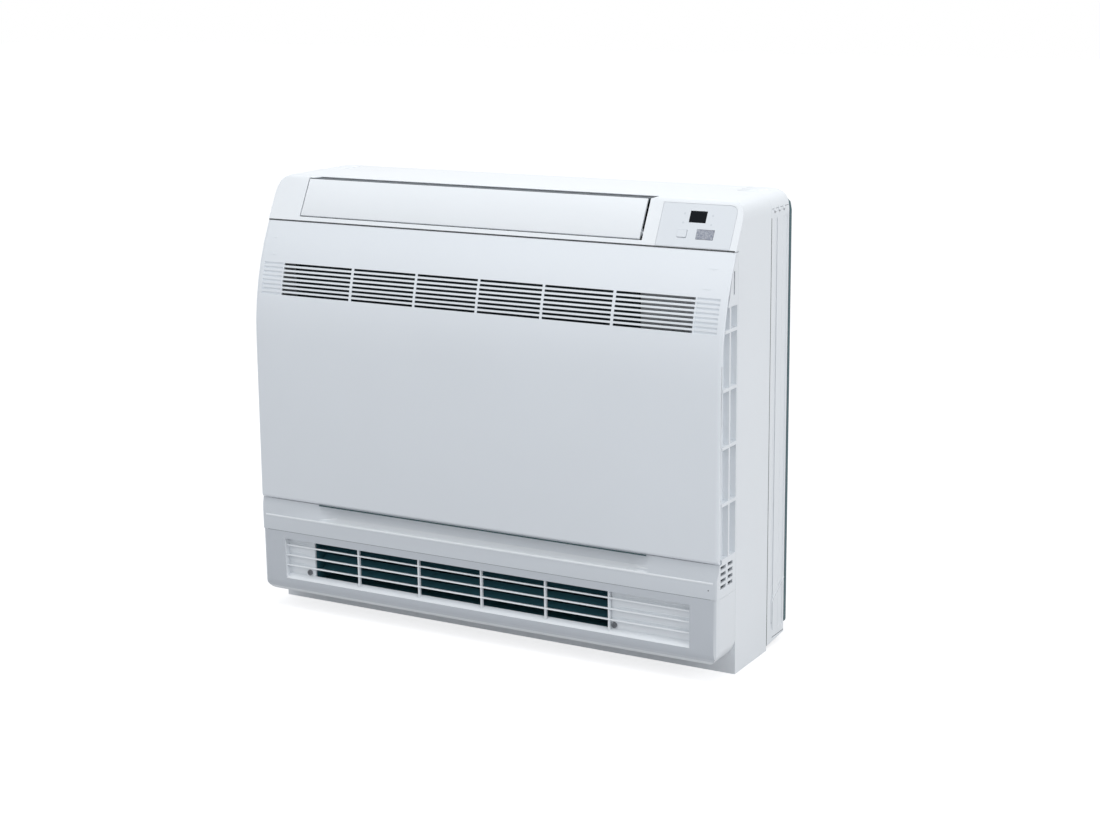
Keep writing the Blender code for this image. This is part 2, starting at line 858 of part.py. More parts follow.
def valley_outline(share):
    """The scooped finger hold under the panel, at a share of its full depth."""
    front = panel_front_y(BAND_BOTTOM)
    reach = BAND_TOP - 0.007 - VALLEY_LIP
    proud = 0.0002
    points = []
    for t in steps(0, math.pi / 2, 6):
        z = VALLEY_LIP + reach * (1 - math.cos(t))
        ledge = front - proud + LEDGE_BACK * (z - VALLEY_LIP) / (BAND_TOP - VALLEY_LIP)
        points.append((ledge + share * (front + VALLEY_DEPTH * math.sin(t) - ledge), z))
    above = BAND_TOP + 0.003
    rear = points[-1][0] + (1 - share) * LEDGE_BACK * 0.25
    return points + [(rear, above), (front - 0.01, above), (front - 0.01, VALLEY_LIP)]


def valley_solid(bm):
    full = VALLEY_HALF - VALLEY_FADE
    places = [(-VALLEY_HALF, 0), (-full, 1), (full, 1), (VALLEY_HALF, 0)]
    loft(bm, [(x, valley_outline(share)) for x, share in places])


def band_end_outline():
    """The hollow behind the band beyond the valley's ends."""
    front = panel_front_y(BAND_BOTTOM) + FRAME_WALL
    rear = panel_front_y(VALLEY_LIP) + VALLEY_DEPTH + FRAME_WALL + 0.001
    top = BAND_TOP - FRAME_WALL - 0.001
    low = BAND_BOTTOM - 0.004
    return [
        (rear, low),
        (front, low),
        (front, VALLEY_LIP - 0.001),
        (front + LEDGE_BACK, top),
        (rear, top),
    ]


def plan_outline(front, corner, back):
    """A module seen from above, its front corners rounded."""
    corners = [(-HALF, back), (-HALF, front), (HALF, front), (HALF, back)]
    return rounded(corners, [0, corner, corner, 0], 5)


def front_frame():
    made = piece("front_frame", white_plastic(), of_prism(band_outline(0), "X", -HALF, HALF))
    plan = plan_outline(panel_front_y(BAND_BOTTOM) - 0.0001, BAND_CORNER, CASE_Y)
    boolean(made, "INTERSECT", [of_prism(plan, "Z", 0, HEIGHT)])
    side = HALF - 0.003
    low = BAND_BOTTOM - 0.004
    solid_back = panel_front_y(VALLEY_LIP) + VALLEY_DEPTH + 0.003
    back = CASE_Y - SEAT - FRAME_WALL
    front = panel_front_y(VALLEY_LIP) + FRAME_WALL
    ends = VALLEY_HALF + 0.003
    cuts = [
        of_box((-side, side), (solid_back, back), (low, BAND_TOP - FRAME_WALL)),
        of_box((-ends, ends), (front, solid_back + 0.001), (low, VALLEY_LIP - 0.004)),
        valley_solid,
        of_prism(band_end_outline(), "X", -side, -ends),
        of_prism(band_end_outline(), "X", ends, side),
    ]
    boolean(made, "DIFFERENCE", cuts)
    cheek = HALF - LADDER_DEPTH
    adds = [
        of_prism(cheek_outline(), "X", cheek, HALF),
        of_prism(cheek_outline(), "X", -HALF, -cheek),
        of_box(
            (-cheek - 0.001, cheek + 0.001),
            (back, CASE_Y - SEAT),
            (BAND_TOP - 0.002, SEAM_Z - PANEL_SEAM),
        ),
    ]
    boolean(made, "UNION", adds)
    cuts = []
    for y, z in ladder_windows():
        cuts += both_sides((cheek + LADDER_BACK, HALF + 0.01), y, z)
    (slot_y, slot_z), (slot_wide, slot_tall) = latch_slot()
    cuts += both_sides(
        (cheek - 0.002, HALF + 0.01),
        (slot_y - slot_wide, slot_y + slot_wide),
        (slot_z - slot_tall, slot_z + slot_tall),
    )
    for i in range(4):
        z = (BAND_BOTTOM + 0.0122 + 0.0083 * i, BAND_BOTTOM + 0.0167 + 0.0083 * i)
        cuts += both_sides((side - 0.001, HALF + 0.01), (CASE_Y - 0.045, CASE_Y - 0.030), z)
        cuts += both_sides((side - 0.001, HALF + 0.01), (CASE_Y - 0.0240, CASE_Y - 0.010), z)
    x, z = intake_opening()
    middle = (x[0] + x[1]) / 2
    for low_x, high_x in ((x[0], middle - 0.004), (middle + 0.004, x[1])):
        cuts.append(of_box((low_x, high_x), (back - 0.002, CASE_Y + 0.002), z))
    boolean(made, "DIFFERENCE", cuts)
    axis_y, axis_z = hinge_axis()
    strip = cheek + 0.0047
    adds = [
        of_prism(lip_strip_outline(), "X", cheek, strip),
        of_prism(lip_strip_outline(), "X", -strip, -cheek),
    ]
    for x in hinge_arm_places():
        reach = HINGE_ARM_WIDTH / 2
        adds.append(of_disc((axis_y, axis_z), HINGE_EYE, "X", x - reach, x + reach, 18))
        adds.append(
            of_box(
                (x - reach, x + reach),
                (axis_y + 0.0005, axis_y + 0.006),
                (axis_z - 0.0023, axis_z + 0.0023),
            )
        )
        adds.append(
            of_box(
                (x - reach, x + reach),
                (axis_y + 0.0040, axis_y + 0.009),
                (BAND_TOP - 0.002, axis_z + 0.0023),
            )
        )
    # A ledge carries the filters, and two hooks over them hold them back.
    ledge = (INTAKE_BOTTOM - FILTER_LAP - SEAT - 0.003, INTAKE_BOTTOM - FILTER_LAP - SEAT)
    x, z = intake_opening()
    adds.append(of_box((x[0], x[1]), (back - FILTER_DEPTH - 0.0025, back + 0.001), ledge))
    adds.append(
        of_box(
            (x[0], x[1]),
            (back - FILTER_DEPTH - 0.0025, back - FILTER_DEPTH - 2 * SEAT),
            (ledge[0], ledge[1] + 0.004),
        )
    )
    boolean(made, "UNION", adds)
    holes = []
    for x in hinge_arm_places():
        holes.append(of_disc((axis_y, axis_z), HINGE_PIN + PIN_FIT, "X", x - 0.01, x + 0.01, 14))
    boolean(made, "DIFFERENCE", holes)
    return made


def grille_outline(inset):
    """The outlet module seen from the side: a slight belly and a round chin."""
    back = CASE_Y - SEAT
    top = BAND_BOTTOM - SEAT - inset
    low = GRILLE_BOTTOM + inset
    belly = FRONT_Y + inset
    upper = panel_front_y(BAND_BOTTOM) + inset
    outline = [(back, low + 0.002), (FRONT_Y + 0.022, low), (belly + 0.0008, low + 0.004)]
    outline += [(belly, 0.075), (upper, top), (back, top)]
    return rounded(outline, [0, 0.008, GRILLE_ROUND, 0.04, 0, 0], 5)


def outlet_open():
    return (-HALF + OUTLET_LEFT, HALF - OUTLET_RIGHT)


def slat_heights():
    return [
        OUTLET_BOTTOM + (OUTLET_TOP - OUTLET_BOTTOM) * (i + 1) / (SLATS + 1) + 0.002
        for i in range(SLATS)
    ]


def slat_outline(z):
    front = FRONT_Y + SLAT_SET_BACK
    along = Vector((math.cos(SLAT_TILT), math.sin(SLAT_TILT)))
    across = Vector((-along.y, along.x)) * SLAT_THICK / 2
    start = Vector((front, z + 0.0025))
    end = start + along * SLAT_DEPTH
    return [tuple(p) for p in (start - across, end - across, end + across, start + across)]


def grille_screw_places():
    left, right = outlet_open()
    return [(left - 0.009, 0.0555), (right + 0.006, 0.0555)]


def lower_grille():
    made = piece("lower_grille", pale_plastic(), of_prism(grille_outline(0), "X", -HALF, HALF))
    corners = [(-HALF, GRILLE_BOTTOM), (HALF, GRILLE_BOTTOM), (HALF, HEIGHT), (-HALF, HEIGHT)]
    seen = rounded(corners, [GRILLE_CORNER, GRILLE_CORNER, 0, 0], 5)
    boolean(made, "INTERSECT", [of_prism(seen, "Y", FRONT_Y - 0.01, CASE_Y)])
    boolean(
        made,
        "INTERSECT",
        [of_prism(plan_outline(FRONT_Y - 0.0001, GRILLE_EDGE, CASE_Y), "Z", 0, HEIGHT)],
    )
    wall = 0.003
    plate = FRONT_Y + OUTLET_SET_BACK
    side = HALF - wall
    low = GRILLE_BOTTOM + 0.007
    top = BAND_BOTTOM - SEAT - wall
    hollow_corner = GRILLE_CORNER - 2 * wall
    hollow = rounded(
        rectangle((-side, low), (side, top)), [hollow_corner, hollow_corner, 0, 0], 5
    )
    left, right = outlet_open()
    cuts = [
        of_prism(hollow, "Y", plate + wall, CASE_Y + 0.01),
        of_box((-OUTLET_HALF, OUTLET_HALF), (FRONT_Y - 0.01, plate), (OUTLET_BOTTOM, OUTLET_TOP)),
        of_box((left, right), (plate - 0.001, plate + wall + 0.001), (OUTLET_BOTTOM, OUTLET_TOP)),
    ]
    cuts += both_sides(
        (OUTLET_HALF + wall, side),
        (FRONT_Y + 0.007, plate + wall + 0.001),
        (low + 0.006, top),
    )
    for x, z in grille_screw_places():
        cuts.append(of_disc((x, z), 0.0022, "Y", plate - 0.001, plate + wall + 0.001, 10))
    boolean(made, "DIFFERENCE", cuts)
    adds = []
    for z in slat_heights():
        adds.append(of_prism(slat_outline(z), "X", -OUTLET_HALF - 0.001, OUTLET_HALF + 0.001))
    middle = (OUTLET_RIBS - 1) / 2
    for i in range(OUTLET_RIBS):
        x = (i - middle) * OUTLET_RIB_PITCH
        adds.append(
            of_box(
                (x - OUTLET_RIB / 2, x + OUTLET_RIB / 2),
                (
                    FRONT_Y + SLAT_SET_BACK + 0.0008,
                    FRONT_Y + SLAT_SET_BACK + 0.0008 + OUTLET_RIB_DEPTH,
                ),
                (OUTLET_BOTTOM - 0.001, OUTLET_TOP + 0.001),
            )
        )
    boolean(made, "UNION", adds)
    # Behind the blind ends the slats stop at the plate, which leaves room for the duct.
    behind = (plate + wall, plate + 0.03)
    blind = [
        of_box((-OUTLET_HALF - 0.002, left), behind, (OUTLET_BOTTOM - 0.002, OUTLET_TOP + 0.002)),
        of_box((right, OUTLET_HALF + 0.002), behind, (OUTLET_BOTTOM - 0.002, OUTLET_TOP + 0.002)),
    ]
    boolean(made, "DIFFERENCE", blind)
    return made


def grille_screw(name, place):
    plate = FRONT_Y + OUTLET_SET_BACK
    made = piece(name, zinc_steel(), of_disc(place, 0.0038, "Y", plate - 0.0022, plate - SEAT, 16))
    boolean(made, "UNION", [of_disc(place, 0.0018, "Y", plate - 0.001, plate + 0.012, 10)])
    slot = []
    for wide, tall in ((0.0022, 0.0005), (0.0005, 0.0022)):
        slot.append(
            of_box(
                (place[0] - wide, place[0] + wide),
                (plate - 0.003, plate - 0.0014),
                (place[1] - tall, place[1] + tall),
            )
        )
    boolean(made, "DIFFERENCE", slot)
    return made


def panel_catch(name, sign):
    """A dark slider in the cheek's slot, pressed inwards to free the panel's top."""
    (slot_y, slot_z), (wide, tall) = latch_slot()
    outer = HALF - 0.004
    inner = HALF - LADDER_DEPTH - 0.007
    x = (inner, outer) if sign > 0 else (-outer, -inner)
    fit = SEAT
    made = piece(
        name,
        dark_plastic(),
        of_box(
            x,
            (slot_y - wide + fit, slot_y + wide - fit),
            (slot_z - tall + fit, slot_z + tall - fit),
        ),
        (sign * outer, slot_y, slot_z),
    )
    grip = []
    for i in range(3):
        z = slot_z + (i - 1) * 0.007
        x_low = sign * (outer - 0.0006)
        x_high = sign * (outer + 0.001)
        grip.append(
            of_box(
                (min(x_low, x_high), max(x_low, x_high)),
                (slot_y - 0.003, slot_y + 0.003),
                (z - 0.001, z + 0.001),
            ),
        )
    boolean(made, "DIFFERENCE", grip)
    return made


def louver_axis():
    return on_slope(LOUVER_AXIS_UP, LOUVER_AXIS_IN)


def upper_louver():
    left, right = louver_span()
    axis = louver_axis()
    round_edge = 0.0012
    outline = rounded(
        [(0, 0), (LOUVER_LENGTH, 0), (LOUVER_LENGTH, LOUVER_WALL), (0, LOUVER_WALL)],
        [round_edge, round_edge, 0, 0],
        3,
    )
    made = piece(
        "upper_louver",
        white_plastic(),
        of_prism(sloped(outline), "X", left, right),
        (0, *axis),
    )
    adds = []
    for end, inward in ((left, 1), (right, -1)):
        x = sorted((end, end + inward * 0.003))
        adds.append(of_disc(axis, LOUVER_EAR, "X", x[0], x[1], 16))
        adds.append(
            sloped_box(
                x,
                (LOUVER_AXIS_UP - LOUVER_EAR, LOUVER_AXIS_UP + LOUVER_EAR),
                (LOUVER_WALL - 0.001, LOUVER_AXIS_IN),
            )
        )
    open_left, open_right = louver_opening()
    pin_left = (open_left - DUCT_WALL - 0.0005, left + 0.002)
    pin_right = (right - 0.002, open_right + DUCT_WALL + 0.0005)
    for x in (pin_left, pin_right):
        adds.append(of_disc(axis, LOUVER_PIN, "X", x[0], x[1], 12))
    # Two stiffening ribs run along the back.
    for up in (0.022, 0.042):
        adds.append(
            sloped_box(
                (left + 0.001, right - 0.001),
                (up, up + 0.0015),
                (LOUVER_WALL - 0.0005, LOUVER_WALL + 0.003),
            ),
        )
    boolean(made, "UNION", adds)
    return made


def fan_back():
    """Back face of the fan casing, seated on the rear case."""
    return REAR_CASE_Y - 0.003 - SEAT


def duct_joint_z():
    """Where the upper duct sits on the fan casing."""
    return HEIGHT - 0.095


def bell_y():
    """Front face of the bell mouth plate, behind the cooling coil."""
    return CASE_Y + COIL_SET_BACK + COIL_DEPTH + 0.0163


def shelf_z():
    """Floor of the upper duct under the vanes, below the sweep of the louver's bottom edge."""
    return SEAM_Z + 0.0015


def duct_top():
    """Outside of the duct's ceiling, under the rear case's tongue."""
    return HEIGHT - 2 * WALL - 2 * SEAT - 0.0004


def duct_span():
    left, right = louver_opening()
    return (left - DUCT_WALL, right + DUCT_WALL)


def upper_duct():
    """The moulded duct that turns the fan's air up and forward to the louver."""
    rear_y = bell_y() + BELL_PLATE
    low = duct_joint_z() + SEAT
    back = fan_back()
    top = duct_top()
    wall = DUCT_WALL
    shelf = shelf_z()
    sill_y = CASE_Y + WALL + SEAT
    sill_z = SEAM_Z + PANEL_SEAM / 2 + WALL + SEAT
    inside = (WALL + SEAT) / math.cos(SLOPE)
    outer = [
        (rear_y, low),
        (rear_y, low + 0.004),
        (CASE_Y + 0.045, shelf - wall),
        (sill_y, shelf - wall),
        (sill_y, sill_z),
        (shoulder_y(sill_z) + inside, sill_z),
        (shoulder_y(top) + inside, top),
        (back, top),
        (back, low),
    ]
    outer = rounded(outer, [0, 0.006, 0.01, 0, 0, 0, 0, 0.030, 0], 4)
    x_left, x_right = duct_span()
    made = piece("upper_duct", dark_plastic(), of_prism(outer, "X", x_left, x_right))
    inner = [
        (rear_y + wall, low - 0.01),
        (rear_y + wall, low + 0.006),
        (CASE_Y + 0.0455, shelf),
        (CASE_Y - 0.03, shelf),
        (CASE_Y - 0.03, top - wall),
        (back - wall, top - wall),
        (back - wall, low - 0.01),
    ]
    inner = rounded(inner, [0, 0.006, 0.01, 0, 0, 0.028, 0], 4)
    left, right = louver_opening()
    cuts = [of_prism(inner, "X", left, right)]
    axis = louver_axis()
    cuts.append(of_disc(axis, LOUVER_PIN + PIN_FIT, "X", x_left - 0.01, x_right + 0.01, 14))
    # The ceiling's front end stays behind the closed louver.
    cuts.append(
        sloped_box((left, right), (-LOUVER_GAP, LOUVER_LENGTH + 0.01), (-0.01, LOUVER_WALL + RUN)),
    )
    boolean(made, "DIFFERENCE", cuts)
    # Sockets in the floor take the vanes' lower pins, and the sill strip under them is drilled too.
    sill = shelf - DUCT_WALL - 0.002
    boss = []
    for x in vane_places():
        boss.append(of_disc((x, vane_axis_y()), 0.0035, "Z", sill, shelf - 0.0005, 8))
    boolean(made, "UNION", boss)
    holes = []
    for x in vane_places():
        holes.append(
            of_disc((x, vane_axis_y()), VANE_PIN + PIN_FIT, "Z", sill + 0.001, shelf + 0.01, 8),
        )
    boolean(made, "DIFFERENCE", holes)
    return made


def vane_places():
    left, right = louver_opening()
    pitch = (right - left) / VANES
    return [left + pitch * (i + 0.5) for i in range(VANES)]


def vane_axis_y():
    return louver_axis()[0] + VANE_PIVOT_IN


def vane_solid_outline():
    """A vane seen from the side: it follows the slope in front and clears the duct's ceiling."""
    y = vane_axis_y()
    low = shelf_z() + SEAT + 0.0003
    top = duct_top() - DUCT_WALL - 0.0015
    return rounded(
        [
            (y - 0.008, low),
            (y + 0.018, low),
            (y + 0.020, top - 0.004),
            (y + 0.012, top),
            (y + 0.004, top),
            (y - 0.008, low + 0.014),
        ],
        [0, 0.004, 0.004, 0, 0.004, 0],
        3,
    )


def link_z():
    return shelf_z() + 0.020


def link_y():
    return vane_axis_y() + CRANK


def vane(index, x):
    y = vane_axis_y()
    low = shelf_z()
    made = piece(
        f"vane_{index}",
        dark_plastic(),
        of_prism(vane_solid_outline(), "X", x - VANE_THICK / 2, x + VANE_THICK / 2),
        (x, y, low),
    )
    # A notch lets the link pass, and the crank pin stands up in it.
    half = LINK_WIDTH / 2 + 0.0035
    z = link_z()
    notch = [
        of_box(
            (x - 0.01, x + 0.01),
            (link_y() - half, link_y() + 0.03),
            (z - 0.0008, z + LINK_THICK + 0.0020),
        ),
    ]
    boolean(made, "DIFFERENCE", notch)
    adds = [
        of_disc((x, y), VANE_PIN, "Z", low - 0.0025, low + 0.012, 8),
        of_disc((x, link_y()), VANE_PIN, "Z", z - 0.003, z + LINK_THICK + 0.0012, 8),
    ]
    boolean(made, "UNION", adds)
    return made


def vane_link():
    """The flat bar that turns all the vanes together, with a slot for each crank pin."""
    places = vane_places()
    z = link_z()
    half = LINK_WIDTH / 2 + 0.001
    low, high = places[0] - 0.008, places[-1] + 0.008
    made = piece(
        "vane_link",
        dark_plastic(),
        of_box((low, high), (link_y() - half, link_y() + half), (z, z + LINK_THICK)),
        (0, link_y(), z),
    )
    slots = []
    for x in places:
        slots.append(
            of_box(
                (x - VANE_PIN - 0.0005, x + VANE_PIN + 0.0005),
                (link_y() - VANE_PIN - 0.0016, link_y() + VANE_PIN + 0.0004),
                (z - 0.001, z + LINK_THICK + 0.001),
            )
        )
    boolean(made, "DIFFERENCE", slots)
    return made


def louver_motor():
    """The geared step motor on the duct's right wall, on the louver's axis."""
    axis = louver_axis()
    start = duct_span()[1] + SEAT
    inward = LOUVER_AXIS_IN + 0.009
    centre = on_slope(LOUVER_AXIS_UP, inward)
    made = piece(
        "louver_motor",
        zinc_steel(),
        of_disc(centre, 0.0105, "X", start + 0.001, start + 0.0125, 20),
    )
    # The output shaft sits off the motor's middle, so a gearbox plate reaches out to it.
    plate = sloped_box(
        (start, start + 0.0015), (LOUVER_AXIS_UP - 0.005, LOUVER_AXIS_UP + 0.005), (
            WALL + 2 * SEAT,
            inward,
        )
    )
    boolean(made, "UNION", [plate])
    bore = of_disc(axis, LOUVER_PIN + 0.0005, "X", start - 0.002, start + 0.003, 12)
    boolean(made, "DIFFERENCE", [bore])
    return made


def vane_motor():
    """The step motor that swings the vanes, on the duct's left wall."""
    end = duct_span()[0] - SEAT
    y = link_y() + 0.008
    z = link_z() + 0.006
    made = piece(
        "vane_motor",
        zinc_steel(),
        of_disc((y, z), 0.012, "X", end - 0.016, end - 0.001, 20),
    )
    boolean(
        made,
        "UNION",
        [of_box((end - 0.002, end), (y - 0.006, y + 0.006), (z - 0.006, z + 0.006))],
    )
    return made


def button_window():
    """(x, up) spans of the control panel's openings."""
    right = HALF
    return {
        "run_button": ((right - 0.0825, right - 0.0707), (0.0058, 0.0151)),
        "display_window": ((right - 0.0707, right - 0.0488), (0.0259, 0.0404)),
        "receiver_window": ((right - 0.0570, right - 0.0343), (0.0045, 0.0168)),
    }


def control_panel():
    left, right = control_span()
    start, end = CONTROL_START, CONTROL_START + CONTROL_RISE
    made = piece(
        "control_panel",
        white_plastic(),
        sloped_plate(control_outline(SEAT), (0, CONTROL_WALL + 0.001)),
    )
    inner = WALL + SEAT
    flange = sloped_box(
        (left - CONTROL_LAP, right + CONTROL_LAP / 2),
        (start + 2 * CONTROL_LAP, end - CONTROL_LAP),
        (inner, inner + 0.0015),
    )
    posts = []
    for x in (left + 0.014, right - 0.006):
        for up in (start + 0.0125, end - 0.0085):
            posts.append(
                sloped_box(
                    (x - 0.002, x + 0.002),
                    (up - 0.002, up + 0.002),
                    (inner, board_in() - SEAT),
                )
            )
    boolean(made, "UNION", [flange] + posts)
    cuts = []
    for x, up in button_window().values():
        cuts.append(
            sloped_box(
                (x[0] - 0.0004, x[1] + 0.0004),
                (up[0] - 0.0004, up[1] + 0.0004),
                (-0.002, 0.008),
            ),
        )
    boolean(made, "DIFFERENCE", cuts)
    return made


def board_in():
    return WALL + SEAT + 0.0015 + 0.0055


def display_board():
    left, right = control_span()
    made = piece(
        "display_board",
        circuit_green(),
        sloped_box(
            (left + 0.0105, right - 0.001),
            (CONTROL_START + 0.0073, CONTROL_START + CONTROL_RISE - 0.0045),
            (board_in(), board_in() + BOARD),
        ),
    )
    x, up = button_window()["run_button"]
    back = button_back()
    middle = ((x[0] + x[1]) / 2, (up[0] + up[1]) / 2)
    switch = sloped_box(
        (middle[0] - 0.003, middle[0] + 0.003),
        (middle[1] - 0.003, middle[1] + 0.003),
        (back + BUTTON_TRAVEL + 0.0002, board_in() + 0.0005),
    )
    boolean(made, "UNION", [switch])
    return made


def button_back():
    return WALL + SEAT + 0.0015 + SEAT + 0.001


def window_piece(name, look, proud, lip_step):
    """A piece set in an opening of the control panel, held from behind by its flange."""
    x, up = button_window()[name]
    seat = WALL + SEAT + 0.0015 + SEAT
    start = on_slope((up[0] + up[1]) / 2, -proud)
    made = piece(
        name, look, sloped_box(x, up, (-proud, seat + lip_step / 2)), ((x[0] + x[1]) / 2, *start)
    )
    lap = 0.0012
    flange = sloped_box(
        (x[0] - lap, x[1] + lap),
        (up[0] - lap, up[1] + lap),
        (seat, seat + lip_step),
    )
    boolean(made, "UNION", [flange])
    return made


def fan_centre():
    """(x, z) of the fan: in the middle of the outlet's open stretch."""
    left, right = louver_span()
    return ((left + right) / 2, 0.330 / 0.600 * HEIGHT)


def chamber_span():
    left, right = duct_span()
    return (left + 0.002, right + 0.002)


def chamber_low():
    return OUTLET_TOP + 0.0476


def lower_span():
    left, right = outlet_open()
    return (left - 0.001, right + 0.001)


def scroll_outline(inset):
    """The fan chamber seen from the front: round the fan, opening to both outlets."""
    centre_x, centre_z = fan_centre()
    radius = FAN_RADIUS + CHAMBER_GAP + inset
    left, right = louver_opening()
    low_left, low_right = lower_span()
    top = duct_joint_z() + (0 if inset else 0.01)
    low = chamber_low() - (0 if inset else 0.01)
    right_arc = arc((centre_x, centre_z), radius, -38, 38, 8)
    left_arc = arc((centre_x, centre_z), radius, 142, 218, 8)
    shoulder = duct_joint_z() - 0.012
    waist = chamber_low() + 0.012
    outline = [(low_right + inset, low), (low_right + inset, waist)] + right_arc
    outline += [(right + inset, shoulder), (right + inset, top)]
    outline += [(left - inset, top), (left - inset, shoulder)] + left_arc
    outline += [(low_left - inset, waist), (low_left - inset, low)]
    return outline


def fan_casing():
    front = bell_y() + BELL_PLATE + SEAT
    back = fan_back()
    made = piece(
        "fan_casing",
        white_plastic(),
        of_prism(scroll_outline(DUCT_WALL), "Y", front, back),
    )
    boolean(made, "DIFFERENCE", [of_prism(scroll_outline(0), "Y", front - 0.01, back - 0.0025)])
    return made


def bell_mouth():
    """The plate in front of the fan, its rolled lip reaching into the rotor."""
    x = chamber_span()
    front = bell_y()
    made = piece(
        "bell_mouth",
        pale_plastic(),
        of_box((x[0] - 0.002, x[1]), (front, front + BELL_PLATE), (chamber_low(), duct_joint_z())),
    )
    lip = of_disc(
        fan_centre(),
        FAN_INLET + 0.003,
        "Y",
        front + BELL_PLATE - 0.001,
        front + BELL_PLATE + FAN_LIP,
        32,
    )
    boolean(made, "UNION", [lip])
    hole = of_disc(fan_centre(), FAN_INLET, "Y", front - 0.01, front + 0.05, 32)
    flare = flare_ring(fan_centre(), FAN_INLET, front)
    boolean(made, "DIFFERENCE", [hole])
    boolean(made, "DIFFERENCE", [flare])
    return made


def flare_ring(centre, radius, front):
    """A cone that opens the inlet's front edge."""

    def draw(bm):
        rings = []
        for y, r in ((front - 0.002, radius + 0.0035), (front + 0.0025, radius - 0.001)):
            ring = []
            for i in range(32):
                a = 2 * math.pi * (i + 0.5) / 32
                ring.append(
                    bm.verts.new((centre[0] + r * math.cos(a), y, centre[1] + r * math.sin(a))),
                )
            rings.append(ring)
        faces = [bm.faces.new(rings[0]), bm.faces.new(rings[1])]
        for i in range(32):
            j = (i + 1) % 32
            faces.append(bm.faces.new((rings[0][i], rings[0][j], rings[1][j], rings[1][i])))
        bmesh.ops.recalc_face_normals(bm, faces=faces)

    return draw


def revolve(profile, centre, sides):
    """A closed profile of (radius, y) points turned about the fan's axis."""

    def draw(bm):
        rings = []
        for i in range(sides):
            a = 2 * math.pi * i / sides
            rings.append(
                [
                    bm.verts.new((centre[0] + r * math.cos(a), y, centre[1] + r * math.sin(a)))
                    for r, y in profile
                ]
            )
        faces = []
        count = len(profile)
        for i in range(sides):
            here, there = rings[i], rings[(i + 1) % sides]
            for j in range(count):
                k = (j + 1) % count
                faces.append(bm.faces.new((here[j], here[k], there[k], there[j])))
        bmesh.ops.recalc_face_normals(bm, faces=faces)

    return draw


def blade_outline(turn):
    """One backward-curved blade seen along the axis."""
    centre = Vector(fan_centre())
    half = BLADE_THICK / 2
    inner, outer = [], []
    for t in steps(0, 1, 5):
        radius = BLADE_INNER + (FAN_RADIUS - 0.001 - BLADE_INNER) * t
        angle = turn - math.radians(34) * t
        point = Vector((math.cos(angle), math.sin(angle))) * radius
        ahead = Vector((-math.sin(angle), math.cos(angle)))
        inner.append(tuple(centre + point - ahead * half))
        outer.append(tuple(centre + point + ahead * half))
    return inner + outer[::-1]


def rotor_planes():
    """Front of the shroud and back of the disc, between the bell mouth and the casing's back."""
    return bell_y() + BELL_PLATE + 0.010, fan_back() - 0.0105


def fan_rotor():
    front, back = rotor_planes()
    centre = fan_centre()
    hub = MOTOR_RADIUS + 0.006
    cap = motor_front() - 0.004
    bore = SHAFT + SEAT
    profile = [
        (bore, cap - 0.003),
        (hub * 0.8, cap - 0.003),
        (hub + 0.003, cap + 0.005),
        (hub + 0.012, back - 0.003),
        (FAN_RADIUS, back - 0.003),
        (FAN_RADIUS, back),
        (hub, back),
        (hub, cap + 0.006),
        (hub * 0.8, cap),
        (bore, cap),
    ]
    made = piece(
        "fan_rotor",
        white_plastic(),
        revolve(profile, centre, 32),
        (centre[0], back, centre[1]),
    )
    shroud = [
        (FAN_INLET + 0.0045, front - 0.002),
        (FAN_INLET + 0.0070, front - 0.002),
        (FAN_RADIUS, front + 0.009),
        (FAN_RADIUS, front + 0.012),
        (FAN_INLET + 0.0045, front + 0.001),
    ]
    adds = [revolve(shroud, centre, 32)]
    boolean(made, "UNION", adds)
    blades = []
    for i in range(BLADES):
        turn = 2 * math.pi * i / BLADES
        blades.append(of_prism(blade_outline(turn), "Y", front + 0.0005, back - 0.001))
    lip_end = bell_y() + BELL_PLATE + FAN_LIP + RUN
    inner = FAN_INLET + 0.0045
    trim = [
        (0.02, front - 0.02),
        (FAN_RADIUS + 0.02, front - 0.02),
        (FAN_RADIUS + 0.02, front + 0.0105),
        (FAN_RADIUS, front + 0.0105),
        (inner + 0.001, front),
        (inner + 0.001, lip_end),
        (0.02, lip_end),
    ]
    blade_set = helper("blade_set", blades)
    trimmed = blade_set.modifiers.new("trim", "BOOLEAN")
    trimmed.object = helper("blade_trim", [revolve(trim, centre, 32)])
    joined = made.modifiers.new("blades", "BOOLEAN")
    joined.operation = "UNION"
    joined.use_self = True
    joined.object = blade_set
    return made


def motor_front():
    return fan_back() - 0.0025 - SEAT - 0.002 - SEAT - MOTOR_DEPTH


def fan_motor():
    centre = fan_centre()
    front = motor_front()
    made = piece(
        "fan_motor",
        zinc_steel(),
        of_disc(centre, MOTOR_RADIUS, "Y", front, front + MOTOR_DEPTH, 32),
    )
    bore = of_disc(centre, SHAFT + SEAT, "Y", front - 0.01, front + 0.030, 16)
    step = revolve(
        [
            (MOTOR_RADIUS * 0.62, front - 0.01),
            (MOTOR_RADIUS + 0.01, front - 0.01),
            (MOTOR_RADIUS + 0.01, front + 0.006),
            (MOTOR_RADIUS * 0.62, front + 0.003),
        ],
        centre,
        32,
    )
    boolean(made, "DIFFERENCE", [bore, step])
    return made


def motor_bracket():
    centre = fan_centre()
    y = motor_front() + MOTOR_DEPTH + SEAT
    half = MOTOR_RADIUS + 0.016
    outline = rounded(
        rectangle((centre[0] - half, centre[1] - half), (centre[0] + half, centre[1] + half)), [0.02] * 4, 4
    )
    made = piece("motor_bracket", zinc_steel(), of_prism(outline, "Y", y, y + 0.002))
    boolean(made, "DIFFERENCE", [of_disc(centre, 0.020, "Y", y - 0.01, y + 0.01, 20)])
    return made


